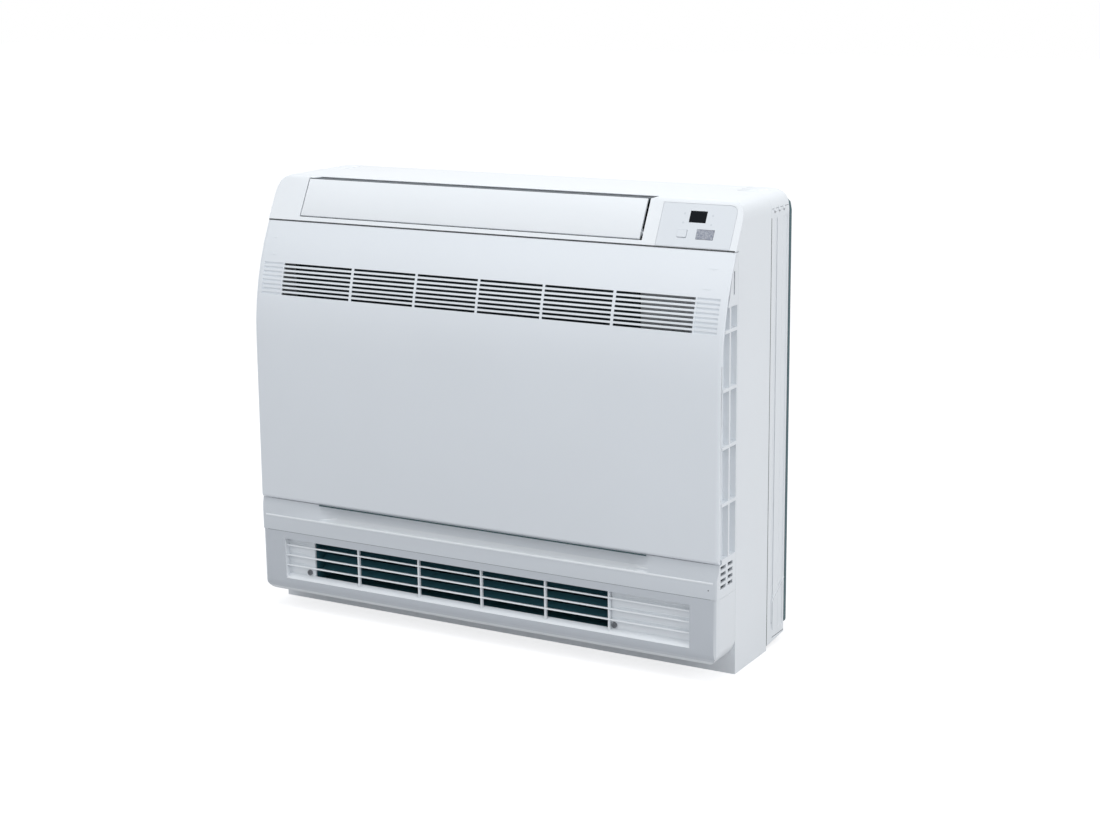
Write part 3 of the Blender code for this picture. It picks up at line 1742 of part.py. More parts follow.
def motor_shaft():
    centre = fan_centre()
    front = motor_front()
    made = piece(
        "motor_shaft",
        zinc_steel(),
        of_disc(centre, SHAFT, "Y", front - 0.020, front + 0.029, 16),
        (centre[0], front, centre[1]),
    )
    return made


def fan_nut():
    centre = fan_centre()
    back = motor_front() - 0.004 - 0.003 - SEAT
    made = piece(
        "fan_nut",
        brass(),
        of_disc(centre, 0.0078, "Y", back - 0.006, back, 6),
        (centre[0], back, centre[1]),
    )
    boolean(made, "DIFFERENCE", [of_disc(centre, SHAFT + SEAT, "Y", back - 0.02, back + 0.02, 16)])
    return made


def lower_duct():
    """The lower duct, from the fan chamber down and forward to the outlet."""
    x = lower_span()
    wall = DUCT_WALL
    front = FRONT_Y + OUTLET_SET_BACK + 0.003 + SEAT
    back = fan_back()
    low = OUTLET_BOTTOM - 0.001 - wall
    roof = OUTLET_TOP + 0.001 + wall
    throat = bell_y() + BELL_PLATE + SEAT
    top = chamber_low() - SEAT
    outer = [(front, low), (back, low), (back, top), (throat, top), (throat, roof), (front, roof)]
    outer = rounded(outer, [0, 0.040, 0, 0, 0.008, 0], 5)
    made = piece("lower_duct", dark_plastic(), of_prism(outer, "X", x[0] - wall, x[1] + wall))
    inner = [
        (front - 0.01, low + wall),
        (back - wall, low + wall),
        (back - wall, top + 0.01),
        (throat + wall, top + 0.01),
        (throat + wall, roof - wall),
        (front - 0.01, roof - wall),
    ]
    inner = rounded(inner, [0, 0.038, 0, 0, 0.010, 0], 5)
    cuts = [of_prism(inner, "X", x[0], x[1])]
    cuts.append(of_disc(damper_axis(), DAMPER_PIN + PIN_FIT, "X", x[0] - 0.01, x[1] + 0.01, 12))
    boolean(made, "DIFFERENCE", cuts)
    return made


def damper_axis():
    return (FRONT_Y + 0.0855, OUTLET_TOP - 0.0042)


def lower_damper():
    """The flap under the lower duct's roof that shuts the lower outlet."""
    x = lower_span()
    y, z = damper_axis()
    reach = OUTLET_TOP - OUTLET_BOTTOM - 0.0065
    outline = [(y - reach, z - 0.0008), (y - reach, z + 0.0008), (y, z + 0.0012), (y, z - 0.0012)]
    made = piece(
        "lower_damper",
        dark_plastic(),
        of_prism(outline, "X", x[0] + RUN, x[1] - RUN),
        (0, y, z),
    )
    adds = [
        of_disc((y, z), 0.003, "X", x[0] + RUN, x[1] - RUN, 12),
        of_disc((y, z), DAMPER_PIN, "X", x[0] - DUCT_WALL - 0.0015, x[1] + DUCT_WALL + 0.004, 10),
    ]
    boolean(made, "UNION", adds)
    return made


def damper_motor():
    y, z = damper_axis()
    start = lower_span()[1] + DUCT_WALL + SEAT
    made = piece(
        "damper_motor",
        zinc_steel(),
        of_disc((y, z), 0.012, "X", start, start + 0.016, 20),
    )
    boolean(
        made,
        "DIFFERENCE",
        [of_disc((y, z), DAMPER_PIN + PIN_FIT, "X", start - 0.01, start + 0.006, 10)],
    )
    return made


def filter_spans():
    (left, right), _ = intake_opening()
    middle = (left + right) / 2
    return {
        "air_filter_left": (left - FILTER_LAP, middle - SEAT),
        "air_filter_right": (middle + SEAT, right + FILTER_LAP),
    }


def air_filter(name, x):
    back = CASE_Y - SEAT - FRAME_WALL - SEAT
    front = back - FILTER_DEPTH
    low = INTAKE_BOTTOM - FILTER_LAP
    high = HEIGHT - INTAKE_TOP_DROP + FILTER_LAP
    made = piece(name, filter_net(), of_box(x, (front, back), (low, high)))
    columns, rows = 3, 5
    net = (front + back) / 2
    xs = steps(x[0] + FILTER_RIM / 2, x[1] - FILTER_RIM / 2, columns + 1)
    zs = steps(low + FILTER_RIM / 2, high - FILTER_RIM / 2, rows + 1)
    bar = FILTER_RIM / 4
    cuts = []
    for i in range(columns):
        for j in range(rows):
            x_low = xs[i] + (FILTER_RIM / 2 if i == 0 else bar / 2)
            x_high = xs[i + 1] - (FILTER_RIM / 2 if i == columns - 1 else bar / 2)
            z_low = zs[j] + (FILTER_RIM / 2 if j == 0 else bar / 2)
            z_high = zs[j + 1] - (FILTER_RIM / 2 if j == rows - 1 else bar / 2)
            cuts.append(
                of_box((x_low, x_high), (front - 0.01, net - FILTER_NET / 2), (z_low, z_high)),
            )
    boolean(made, "DIFFERENCE", cuts, False)
    return made


def coil_span():
    (left, right), _ = intake_opening()
    return (left + 0.012, right - 0.016)


def cooling_coil():
    """The block of fins, its front edge cut into separate blades."""
    left, right = coil_span()
    front = CASE_Y + COIL_SET_BACK
    back = front + COIL_DEPTH
    pitch = (right - left) / COIL_FINS
    gap = pitch * FIN_GAP_SHARE
    outline = []
    for i in range(COIL_FINS):
        start = left + i * pitch
        outline += [(start, front), (start + pitch - gap, front)]
        if i < COIL_FINS - 1:
            outline += [(start + pitch - gap, front + 0.010), (start + pitch, front + 0.010)]
    outline[-1] = (right, front)
    outline += [(right, back), (left, back)]
    return piece(
        "cooling_coil", fin_aluminium(), of_prism(outline, "Z", COIL_BOTTOM, HEIGHT - COIL_TOP_DROP)
    )


def bend(start_z, end_z, x, y):
    """A U bend of copper tube between two coil rows, outside the end plate."""

    def draw(bm):
        middle = (start_z + end_z) / 2
        reach = (end_z - start_z) / 2
        rings = []
        for a in [-90] + steps(-90, 90, 5) + [90]:
            out = 0 if rings and len(rings) < 6 else -0.0015
            t = math.radians(a)
            centre = Vector((x + reach * math.cos(t) + out, y, middle + reach * math.sin(t)))
            radial = Vector((math.cos(t), 0, math.sin(t)))
            ring = []
            for k in range(6):
                b = 2 * math.pi * k / 6
                ring.append(
                    bm.verts.new(
                        centre + (radial * math.cos(b) + Vector((0, 1, 0)) * math.sin(b)) * TUBE_RADIUS,
                    ),
                )
            rings.append(ring)
        faces = [bm.faces.new(rings[0]), bm.faces.new(rings[-1])]
        for low, high in zip(rings, rings[1:]):
            for i in range(6):
                j = (i + 1) % 6
                faces.append(bm.faces.new((low[i], low[j], high[j], high[i])))
        bmesh.ops.recalc_face_normals(bm, faces=faces)

    return draw


def coil_end(name, side):
    """A steel end plate of the coil; the right one carries the tube bends."""
    left, right = coil_span()
    front = CASE_Y + COIL_SET_BACK
    back = front + COIL_DEPTH
    low, high = COIL_BOTTOM, HEIGHT - COIL_TOP_DROP
    if side < 0:
        x = (left - SEAT - END_PLATE, left - SEAT)
        lug = (x[0], x[0] + END_PLATE)
    else:
        x = (right + SEAT, right + SEAT + END_PLATE)
        lug = x
    made = piece(name, zinc_steel(), of_box(x, (front, back), (low, high)))
    adds = []
    for z in (low + 0.03, high - 0.03):
        adds.append(of_box(lug, (back - 0.001, bell_y() - SEAT), (z - 0.012, z + 0.012)))
    if side > 0:
        pitch = (high - low) / (2 * COIL_TUBES)
        for i in range(COIL_TUBES):
            start = low + pitch * (2 * i + 0.5)
            adds.append(bend(start, start + pitch, x[1], (front + back) / 2))
    boolean(made, "UNION", adds)
    return made


def drain_pan():
    left, right = coil_span()
    front = CASE_Y + 0.0035
    back = bell_y() - SEAT
    low = COIL_BOTTOM - SEAT - PAN_DEPTH
    x = (left - 0.010, right + 0.026)
    made = piece(
        "drain_pan",
        pale_plastic(),
        of_box(x, (front, back), (low, COIL_BOTTOM - SEAT)),
    )
    wall = PAN_WALL
    ribs = steps(left + 0.02, right - 0.02, 5)
    edges = [x[0] + wall] + [r for rib in ribs for r in (rib - 0.001, rib + 0.001)] + [x[1] - wall]
    cuts = []
    for i in range(0, len(edges), 2):
        cuts.append(
            of_box(
                (edges[i], edges[i + 1]),
                (front + wall, back - wall),
                (low + wall + 0.001, COIL_BOTTOM + 0.01),
            )
        )
    # The ribs under the coil are low in front, so that water runs past them to the spigot.
    cuts.append(
        of_box(
            (x[0] + wall, x[1] - wall),
            (front + wall, front + 0.010),
            (low + wall, COIL_BOTTOM + 0.01),
        ),
    )
    boolean(made, "DIFFERENCE", cuts)
    spigot = (x[1] - 0.012, back - 0.014)
    boolean(made, "UNION", [of_disc(spigot, 0.008, "Z", low - 0.018, low + 0.001, 16)])
    boolean(made, "DIFFERENCE", [of_disc(spigot, 0.006, "Z", low - 0.03, low + wall + 0.003, 16)])
    return made


def electric_box_span():
    left = chamber_span()[1] + SEAT
    return (left, HALF - BOX_RIGHT)


def electric_box():
    x = electric_box_span()
    front = bell_y() - 0.050
    back = front + BOX_DEPTH
    z = (BOX_BOTTOM, HEIGHT - BOX_TOP_DROP)
    made = piece("electric_box", zinc_steel(), of_box(x, (front, back), z))
    wall = BOX_WALL
    boolean(
        made,
        "DIFFERENCE",
        [
            of_box(
                (x[0] + wall, x[1] - wall),
                (front - 0.01, back - wall),
                (z[0] + wall, z[1] - wall),
            ),
        ],
    )
    posts = []
    for px in (x[0] + 0.016, x[1] - 0.016):
        for pz in (z[0] + 0.070, z[1] - 0.020):
            posts.append(of_disc((px, pz), 0.003, "Y", back - wall - 0.008, back - wall + 0.001, 8))
    boolean(made, "UNION", posts)
    inlet = of_disc((x[0] + 0.045, back - 0.030), 0.008, "Z", z[0] - 0.01, z[0] + 0.01, 16)
    boolean(made, "DIFFERENCE", [inlet])
    return made


def electric_box_cover():
    x = electric_box_span()
    front = bell_y() - 0.050 - SEAT
    z = (BOX_BOTTOM, HEIGHT - BOX_TOP_DROP)
    made = piece(
        "electric_box_cover", zinc_steel(), of_box(
            (x[0] + 0.0005, x[1]),
            (front - 0.0012, front),
            z,
        )
    )
    panel = of_box(
        (x[0] + 0.012, x[1] - 0.012),
        (front - 0.01, front - 0.0007),
        (z[0] + 0.012, z[1] - 0.012),
    )
    boolean(made, "DIFFERENCE", [panel])
    return made


def control_board():
    x = electric_box_span()
    back = bell_y() - 0.050 + BOX_DEPTH - BOX_WALL - 0.008 - SEAT
    z = (BOX_BOTTOM + 0.060, HEIGHT - BOX_TOP_DROP - 0.010)
    made = piece(
        "control_board",
        circuit_green(),
        of_box((x[0] + 0.008, x[1] - 0.008), (back - BOARD, back), z),
    )
    face = back - BOARD
    parts = [
        of_disc((x[0] + 0.030, z[1] - 0.030), 0.009, "Y", face - 0.028, face + 0.0005, 16),
        of_disc((x[0] + 0.055, z[1] - 0.030), 0.009, "Y", face - 0.028, face + 0.0005, 16),
        of_box(
            (x[0] + 0.020, x[0] + 0.055),
            (face - 0.020, face + 0.0005),
            (z[0] + 0.085, z[0] + 0.110),
        ),
        of_box(
            (x[0] + 0.065, x[0] + 0.090),
            (face - 0.012, face + 0.0005),
            (z[0] + 0.040, z[0] + 0.075),
        ),
    ]
    boolean(made, "UNION", parts)
    return made


def terminal_block():
    x = electric_box_span()
    back = bell_y() - 0.050 + BOX_DEPTH - BOX_WALL - SEAT
    z = (BOX_BOTTOM + 0.022, BOX_BOTTOM + 0.044)
    span = (x[0] + 0.020, x[1] - 0.020)
    made = piece("terminal_block", dark_plastic(), of_box(span, (back - 0.020, back), z))
    wells = []
    edges = steps(span[0] + 0.002, span[1] - 0.002, 6)
    for low, high in zip(edges, edges[1:]):
        wells.append(
            of_box(
                (low + 0.0008, high - 0.0008),
                (back - 0.03, back - 0.012),
                (z[0] - 0.001, z[1] - 0.010),
            ),
        )
    boolean(made, "DIFFERENCE", wells)
    return made


def cable_gland():
    """The bush in the wiring box's floor, where a supply cord would come in."""
    x = electric_box_span()
    place = (x[0] + 0.045, bell_y() - 0.050 + BOX_DEPTH - 0.030)
    made = piece(
        "cable_gland", dark_plastic(), of_disc(
            place,
            0.011,
            "Z",
            BOX_BOTTOM - SEAT - 0.008,
            BOX_BOTTOM - SEAT,
            16,
        )
    )
    boolean(
        made,
        "UNION",
        [of_disc(place, 0.008 - SEAT, "Z", BOX_BOTTOM - 0.002, BOX_BOTTOM + 0.004, 16)],
    )
    boolean(
        made,
        "DIFFERENCE",
        [of_disc(place, 0.0045, "Z", BOX_BOTTOM - 0.02, BOX_BOTTOM + 0.02, 16)],
    )
    return made


def tube(name, look, radius, points):
    """A pipe: a curve through its own points, with its ends filled."""
    curve = bpy.data.curves.new(name, "CURVE")
    curve.dimensions = "3D"
    curve.bevel_depth = radius
    curve.bevel_resolution = 2
    curve.use_fill_caps = True
    spline = curve.splines.new("POLY")
    spline.points.add(len(points) - 1)
    for point, place in zip(spline.points, points):
        point.co = (*place, 1)
    curve.materials.append(look)
    made = bpy.data.objects.new(name, curve)
    bpy.context.collection.objects.link(made)
    return made


def smooth_route(corners, radius):
    """A route through corners, each turned on a round bend."""
    points = [Vector(corners[0])]
    for before, here, after in zip(corners, corners[1:], corners[2:]):
        here = Vector(here)
        first = here + (Vector(before) - here).normalized() * radius
        last = here + (Vector(after) - here).normalized() * radius
        for t in steps(0, 1, 6):
            points.append(first * (1 - t) ** 2 + here * 2 * t * (1 - t) + last * t * t)
    points.append(Vector(corners[-1]))
    return points


def pipe_routes():
    """Corner points of the two refrigerant pipes, from the coil's end plate to the union nuts."""
    plate = coil_span()[1] + SEAT + END_PLATE + SEAT
    y = CASE_Y + COIL_SET_BACK
    pan_right = coil_span()[1] + 0.026
    routes = {}
    for name, radius, height, across, out, low, reach in (
        ("liquid_pipe", PIPE_LIQUID, 0.008, 0.008, 0.012, 0.118, 0.040),
        ("gas_pipe", PIPE_GAS, 0.017, 0.027, 0.020, 0.140, 0.066),
    ):
        x = pan_right + out
        depth = y + across
        far = bell_y() + reach
        routes[name] = (
            radius,
            [
                (plate, depth, COIL_BOTTOM + height),
                (x, depth, COIL_BOTTOM + height),
                (x, depth, low),
                (x, far, low),
                (x, far, UNION_Z),
            ],
        )
    return routes


def union_nut(name, x, y, radius):
    made = piece(
        name,
        brass(),
        of_disc((x, y), radius * 2.3, "Z", UNION_Z - SEAT - 0.022, UNION_Z - SEAT, 6),
    )
    boolean(
        made,
        "DIFFERENCE",
        [of_disc((x, y), radius * 1.2, "Z", UNION_Z - 0.03, UNION_Z - 0.004, 12)],
    )
    return made


def build():


    clear_scene()
    cabinet_shell()
    rear_case()
    wall_plate()
    front_panel()
    front_frame()
    lower_grille()
    for index, place in enumerate(grille_screw_places()):
        grille_screw(f"grille_screw_{index + 1}", place)
    panel_catch("panel_catch_left", -1)
    panel_catch("panel_catch_right", 1)
    upper_louver()
    upper_duct()
    for index, place in enumerate(vane_places()):
        vane(index + 1, place)
    vane_link()
    louver_motor()
    vane_motor()
    control_panel()
    display_board()
    window_piece("run_button", white_plastic(), BUTTON_PROUD, 0.001)
    window_piece("display_window", black_gloss(), 0, 0.0012)
    window_piece("receiver_window", grey_gloss(), 0, 0.0012)
    fan_casing()
    bell_mouth()
    fan_rotor()
    fan_motor()
    motor_bracket()
    motor_shaft()
    fan_nut()
    lower_duct()
    lower_damper()
    damper_motor()
    for name, span in filter_spans().items():
        air_filter(name, span)
    cooling_coil()
    coil_end("coil_end_left", -1)
    coil_end("coil_end_right", 1)
    drain_pan()
    electric_box()
    electric_box_cover()
    control_board()
    terminal_block()
    cable_gland()
    for name, (radius, corners) in pipe_routes().items():
        tube(name, copper(), radius, smooth_route(corners, 0.014))
        union_nut(name + "_nut", corners[-1][0], corners[-1][1], radius)


build()
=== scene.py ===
# %% [markdown]
# # Dressing a floor console air conditioner
# The CAD model already holds every solid of this unit in its true place. This lesson loads
# it as a fixed frame, sets the camera and the light, and then gives each piece the surface
# that the real one shows: satin white mouldings, a dark duct, fins, nets and plated sheet.

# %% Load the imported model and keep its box
import json
import math

import bmesh
import bpy
import numpy as np
from mathutils import Matrix, Vector
from mathutils.bvhtree import BVHTree

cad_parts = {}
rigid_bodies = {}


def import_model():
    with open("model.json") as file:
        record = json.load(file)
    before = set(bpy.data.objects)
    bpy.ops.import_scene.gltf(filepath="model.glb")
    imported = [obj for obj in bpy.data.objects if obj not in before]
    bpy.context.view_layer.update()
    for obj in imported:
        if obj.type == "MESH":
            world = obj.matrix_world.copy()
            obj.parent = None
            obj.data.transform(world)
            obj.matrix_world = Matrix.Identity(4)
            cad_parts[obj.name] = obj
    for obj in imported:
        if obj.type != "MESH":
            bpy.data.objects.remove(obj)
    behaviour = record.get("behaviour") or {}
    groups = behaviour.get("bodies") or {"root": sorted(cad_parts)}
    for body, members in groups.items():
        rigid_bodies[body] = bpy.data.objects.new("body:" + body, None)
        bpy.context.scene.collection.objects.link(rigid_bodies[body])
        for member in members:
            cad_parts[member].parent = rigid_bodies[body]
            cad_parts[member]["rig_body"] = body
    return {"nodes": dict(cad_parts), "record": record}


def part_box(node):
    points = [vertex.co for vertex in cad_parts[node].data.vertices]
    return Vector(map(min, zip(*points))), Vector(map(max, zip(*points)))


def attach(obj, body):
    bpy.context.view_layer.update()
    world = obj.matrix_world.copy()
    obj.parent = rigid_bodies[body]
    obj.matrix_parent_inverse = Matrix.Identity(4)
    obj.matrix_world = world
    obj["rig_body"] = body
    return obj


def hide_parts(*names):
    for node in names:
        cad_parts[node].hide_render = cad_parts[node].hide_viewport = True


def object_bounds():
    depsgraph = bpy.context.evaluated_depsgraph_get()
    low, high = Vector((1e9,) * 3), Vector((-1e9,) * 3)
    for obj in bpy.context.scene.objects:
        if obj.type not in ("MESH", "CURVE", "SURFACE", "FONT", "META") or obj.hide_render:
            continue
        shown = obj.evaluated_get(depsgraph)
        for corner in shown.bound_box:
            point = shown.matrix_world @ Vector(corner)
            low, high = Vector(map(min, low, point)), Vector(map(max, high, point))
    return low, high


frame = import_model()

NODES = frame["nodes"]
CAD_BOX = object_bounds()
print("the CAD box is", [[round(v, 4) for v in corner] for corner in CAD_BOX])

# %% [markdown]
# ## Camera
# The photograph was taken from the right of the unit and a little above it. The camera's
# place was worked out from the straight edges of the casing, so that the model's corners
# fall on those in the picture. A camera looks along its own -Z, so its three axes are built
# from the angles and set as the columns of a matrix.

# %% Place the camera
SENSOR_WIDTH_MM = 36
FRAME_WIDTH_PX = 1100
FOCAL_PX = 2046.74
CAMERA_PLACE = (1.36465, -2.29351, 0.91988)
YAW, PITCH, ROLL = (math.radians(angle) for angle in (-29.75, -13.45, -0.72))


def camera_axes(yaw, pitch, roll):
    """The camera's right, up and backward directions.

    It looks along (sin yaw cos pitch, cos yaw cos pitch, sin pitch); right is level, up is
    right crossed with forward, and both then turn by roll about the line of sight."""
    forward = Vector((math.sin(yaw) * math.cos(pitch), math.cos(yaw) * math.cos(pitch), math.sin(pitch)))
    level = Vector((math.cos(yaw), -math.sin(yaw), 0))
    rise = level.cross(forward)
    right = level * math.cos(roll) + rise * math.sin(roll)
    up = rise * math.cos(roll) - level * math.sin(roll)
    return right, up, -forward


camera_data = bpy.data.cameras.new("photo_camera")
camera_data.sensor_fit = "HORIZONTAL"
camera_data.sensor_width = SENSOR_WIDTH_MM
camera_data.lens = FOCAL_PX / FRAME_WIDTH_PX * SENSOR_WIDTH_MM
camera_data.clip_end = 50
camera = bpy.data.objects.new("photo_camera", camera_data)
bpy.context.scene.collection.objects.link(camera)
turned = Matrix(camera_axes(YAW, PITCH, ROLL)).transposed().to_4x4()
camera.matrix_world = Matrix.Translation(CAMERA_PLACE) @ turned
bpy.context.scene.camera = camera
print("lens", round(camera_data.lens, 2), "mm")

# %% [markdown]
# ## Shader maths as Python
# A material is a graph of nodes. Wiring each one by hand hides the idea, so a small class
# holds a socket and lets ordinary expressions add the Math nodes: 1 - mask, noise * 0.1.
# Colours go through Mix nodes, because a Math node would turn them grey.

# %% A socket that can be multiplied, divided and compared


class Wire:
    """One output socket of a material's graph, with arithmetic."""

    def __init__(self, graph, socket):
        self.graph = graph
        self.socket = socket

    def __sub__(self, other):
        return self.graph.math("SUBTRACT", self, other)

    def __rsub__(self, other):
        return self.graph.math("SUBTRACT", other, self)

    def __mul__(self, other):
        return self.graph.math("MULTIPLY", self, other)

    def __truediv__(self, other):
        return self.graph.math("DIVIDE", self, other)

    def __rtruediv__(self, other):
        return self.graph.math("DIVIDE", other, self)

    def __gt__(self, other):
        return self.graph.math("GREATER_THAN", self, other)

    def __lt__(self, other):
        return self.graph.math("LESS_THAN", self, other)

    __rmul__ = __mul__


class Finish:
    """A material and the nodes that make it."""

    def __init__(self, name):
        self.material = bpy.data.materials.new(name)
        self.material.use_nodes = True
        self.tree = self.material.node_tree
        self.shader = self.tree.nodes["Principled BSDF"]

    def node(self, kind, out=0, settings=(), **values):
        """Adds a node, sets its settings, then fills or links its sockets.

        A socket goes by its name, or by an i and its number where two have the same name."""
        made = self.tree.nodes.new(kind)
        for key, value in dict(settings).items():
            setattr(made, key, value)
        for key, value in values.items():
            numbered = key[0] == "i" and key[1:].isdigit()
            self.feed(made.inputs[int(key[1:]) if numbered else key.replace("_", " ")], value)
        return Wire(self, made.outputs[out])

    def feed(self, socket, value):
        """Links a wire into a socket, or sets a plain value on it."""
        if isinstance(value, Wire):
            self.tree.links.new(value.socket, socket)
        elif hasattr(value, "__len__") and socket.type == "RGBA" and len(value) == 3:
            socket.default_value = (*value, 1)
        else:
            socket.default_value = value

    def math(self, operation, first, second=0.0):
        """One Math node on two values."""
        return self.node("ShaderNodeMath", settings={"operation": operation}, i0=first, i1=second)

    def place(self):
        """The point's place on the object, in metres."""
        return self.node("ShaderNodeTexCoord", out="Object")

    def along(self, axis):
        """One coordinate of that place: X, Y or Z."""
        return self.node("ShaderNodeSeparateXYZ", out=axis, i0=self.place())

    def noise(self, scale, detail=2.0):
        """Soft noise from 0 to 1 on the place, with about scale lumps to the metre."""
        return self.node("ShaderNodeTexNoise", Vector=self.place(), Scale=scale, Detail=detail)

    def span(self, value, low, high, to_low, to_high):
        """Maps low..high onto to_low..to_high, clamped."""
        return self.node("ShaderNodeMapRange", i0=value, i1=low, i2=high, i3=to_low, i4=to_high)

    def mix(self, share, first, second):
        """The first colour, turning into the second as share goes from 0 to 1."""
        colours = {"i6": first, "i7": second}
        return self.node("ShaderNodeMix", out=2, settings={"data_type": "RGBA"}, i0=share, **colours)

    def bump(self, height, depth):
        """Raises the surface by height times depth, in metres."""
        self.set(Normal=self.node("ShaderNodeBump", Height=height, Distance=depth, Strength=1.0))

    def set(self, **values):
        """Fills or links the shader's sockets by their names."""
        for key, value in values.items():
            self.feed(self.shader.inputs[key.replace("_", " ")], value)

# %% [markdown]
# ## Light, floor and backdrop
# A white product picture needs light from every side, with the most from above, so that the
# top is brightest and the front a little greyer. The world is a soft grey-white dome, and
# three large lamps add the direction. The floor reads as white to the camera through Light
# Path, and still takes the unit's shadow.

# %% A dome that the camera sees as white
scene = bpy.context.scene
scene.view_settings.view_transform = "Standard"
DOME_LIGHT = 0.62
WHITE = (1.0, 1.0, 1.0)

world = bpy.data.worlds.new("studio")
scene.world = world
world.use_nodes = True
dome = world.node_tree
seen = dome.nodes.new("ShaderNodeLightPath")
to_white = dome.nodes.new("ShaderNodeMix")
to_white.data_type = "RGBA"
to_white.inputs[6].default_value = (DOME_LIGHT * 0.97, DOME_LIGHT, DOME_LIGHT * 1.03, 1)
to_white.inputs[7].default_value = (*WHITE, 1)
shown = seen.outputs["Is Camera Ray"]
for ray in ("Is Glossy Ray", "Is Transmission Ray"):
    either = dome.nodes.new("ShaderNodeMath")
    either.operation = "MAXIMUM"
    dome.links.new(shown, either.inputs[0])
    dome.links.new(seen.outputs[ray], either.inputs[1])
    shown = either.outputs[0]
dome.links.new(shown, to_white.inputs[0])
dome.links.new(to_white.outputs[2], dome.nodes["Background"].inputs["Color"])
print("the dome lights at", DOME_LIGHT)

# %% Three lamps


def softbox(name, place, towards, width, height, power):
    """A rectangular area lamp at place, turned to face towards."""
    lamp = bpy.data.lights.new(name, "AREA")
    lamp.shape = "RECTANGLE"
    lamp.size = width
    lamp.size_y = height
    lamp.energy = power
    holder = bpy.data.objects.new(name, lamp)
    holder.location = place
    holder.rotation_euler = (Vector(towards) - Vector(place)).to_track_quat("-Z", "Y").to_euler()
    scene.collection.objects.link(holder)
    print(name, "gives", power, "W")


UNIT_MIDDLE = (0, 0, 0.3)
softbox("overhead", (0.1, -0.3, 2.4), UNIT_MIDDLE, 2.2, 1.6, 20.5)
softbox("right_fill", (2.3, -0.6, 1.05), UNIT_MIDDLE, 1.2, 1.6, 13.5)
softbox("front_fill", (-0.8, -2.6, 1.9), UNIT_MIDDLE, 1.8, 1.4, 11.5)

# %% Floor
FLOOR_REACH = 12.0
FLOOR_GLOW = 0.70
corners = np.array([[-1, -1, 0], [1, -1, 0], [1, 1, 0], [-1, 1, 0]], float) * FLOOR_REACH
floor_mesh = bpy.data.meshes.new("floor")
floor_mesh.from_pydata(corners.tolist(), [], [(0, 1, 2, 3)])
floor = bpy.data.objects.new("floor", floor_mesh)
scene.collection.objects.link(floor)
paper = Finish("pale_floor")
rays = paper.node("ShaderNodeLightPath").socket.node.outputs
direct = paper.math("MAXIMUM", Wire(paper, rays["Is Camera Ray"]), Wire(paper, rays["Is Glossy Ray"]))
direct = paper.math("MAXIMUM", direct, Wire(paper, rays["Is Transmission Ray"]))
grain = paper.noise(40.0)
paper.set(Base_Color=paper.mix(grain, (0.44, 0.44, 0.45), (0.48, 0.48, 0.49)), Roughness=0.9)
paper.set(Emission_Color=paper.mix(direct, (0, 0, 0), WHITE), Emission_Strength=FLOOR_GLOW)
floor_mesh.materials.append(paper.material)
print("the floor is", 2 * FLOOR_REACH, "m wide")

# %% [markdown]
# ## Moulded plastic
# The casing is injection-moulded: one colour right through, a satin skin with a very fine
# spark-eroded grain, and soft clouds where the pigment flowed. The grain goes into the bump
# and the roughness, and the clouds into the colour, all by noise on the piece's own place.

# %% Finishes for the mouldings
CLOUD_SCALE, GRAIN_SCALE = 7.0, 1600.0


def moulded(name, colour, rough, grain_depth=0.00002, clouds=0.02, gloss=0.5):
    """Satin plastic: cloudy colour, noisy roughness and a fine grain in the surface."""
    made = Finish(name)
    drift = made.noise(CLOUD_SCALE, 3.0)
    fine = made.noise(GRAIN_SCALE, 2.0)
    darker = tuple(value * (1 - clouds) for value in colour)
    lighter = tuple(min(1.0, value * (1 + clouds)) for value in colour)
    made.set(Base_Color=made.mix(drift, darker, lighter))
    made.set(Roughness=made.span(fine, 0.3, 0.7, rough - 0.04, rough + 0.04))
    made.bump(fine, grain_depth)
    made.set(Specular_IOR_Level=gloss)
    return made.material


WHITE_ABS = (0.80, 0.83, 0.86)
FINISHES = {
    "white_abs": moulded("casing_white", WHITE_ABS, 0.36),
    "pale_abs": moulded("front_white", (0.775, 0.812, 0.853), 0.34),
    "dark_plastic": moulded("duct_dark_teal", (0.012, 0.034, 0.044), 0.55, 0.00006, 0.12),
    "black_gloss": moulded("smoked_window", (0.003, 0.005, 0.008), 0.26, 0.000002, 0.10, 0.08),
}

glass = Finish("receiver_grey")
flakes = glass.noise(620.0, 1.0)
flake_share = glass.span(flakes, 0.35, 0.65, 0, 1)
glass.set(Base_Color=glass.mix(flake_share, (0.22, 0.24, 0.30), (0.40, 0.42, 0.47)))
glass.set(Roughness=glass.span(flakes, 0.3, 0.7, 0.14, 0.22))
FINISHES["grey_gloss"] = glass.material
print(len(FINISHES), "moulded finishes")

# %% [markdown]
# The front faces of the lower outlet and of the band above it are a shade greyer in the
# picture than their edges and returns, from the way the light falls. One material paints
# that shade into its colour: it looks at the normal of the face and at its place.

# %% Finishes of single pieces
SQUARE_ON, TURNED_AWAY = -0.96, -0.78


def front_shaded_finish(name, colour, shaded_front_colour, axis, low, high):
    """Satin plastic with painted shade: its forward faces are a shade greyer.

    A face counts as forward by its own normal's Y, and only where the place along axis lies
    between low and high."""
    made = Finish(name)
    fine = made.noise(GRAIN_SCALE, 2.0)
    drift = made.noise(CLOUD_SCALE, 3.0)
    normal = made.node("ShaderNodeTexCoord", out="Normal")
    normal_y = made.node("ShaderNodeSeparateXYZ", out="Y", i0=normal)
    forward = made.span(normal_y, SQUARE_ON, TURNED_AWAY, 1.0, 0.0)
    place = made.along(axis)
    inside = (place > low) * (place < high)
    tone = made.mix(forward * inside, colour, shaded_front_colour)
    made.set(Base_Color=made.mix(drift * 0.05, tone, (0.45, 0.48, 0.52)))
    made.set(Roughness=made.span(fine, 0.3, 0.7, 0.32, 0.42))
    made.bump(fine, 0.00002)
    return made.material
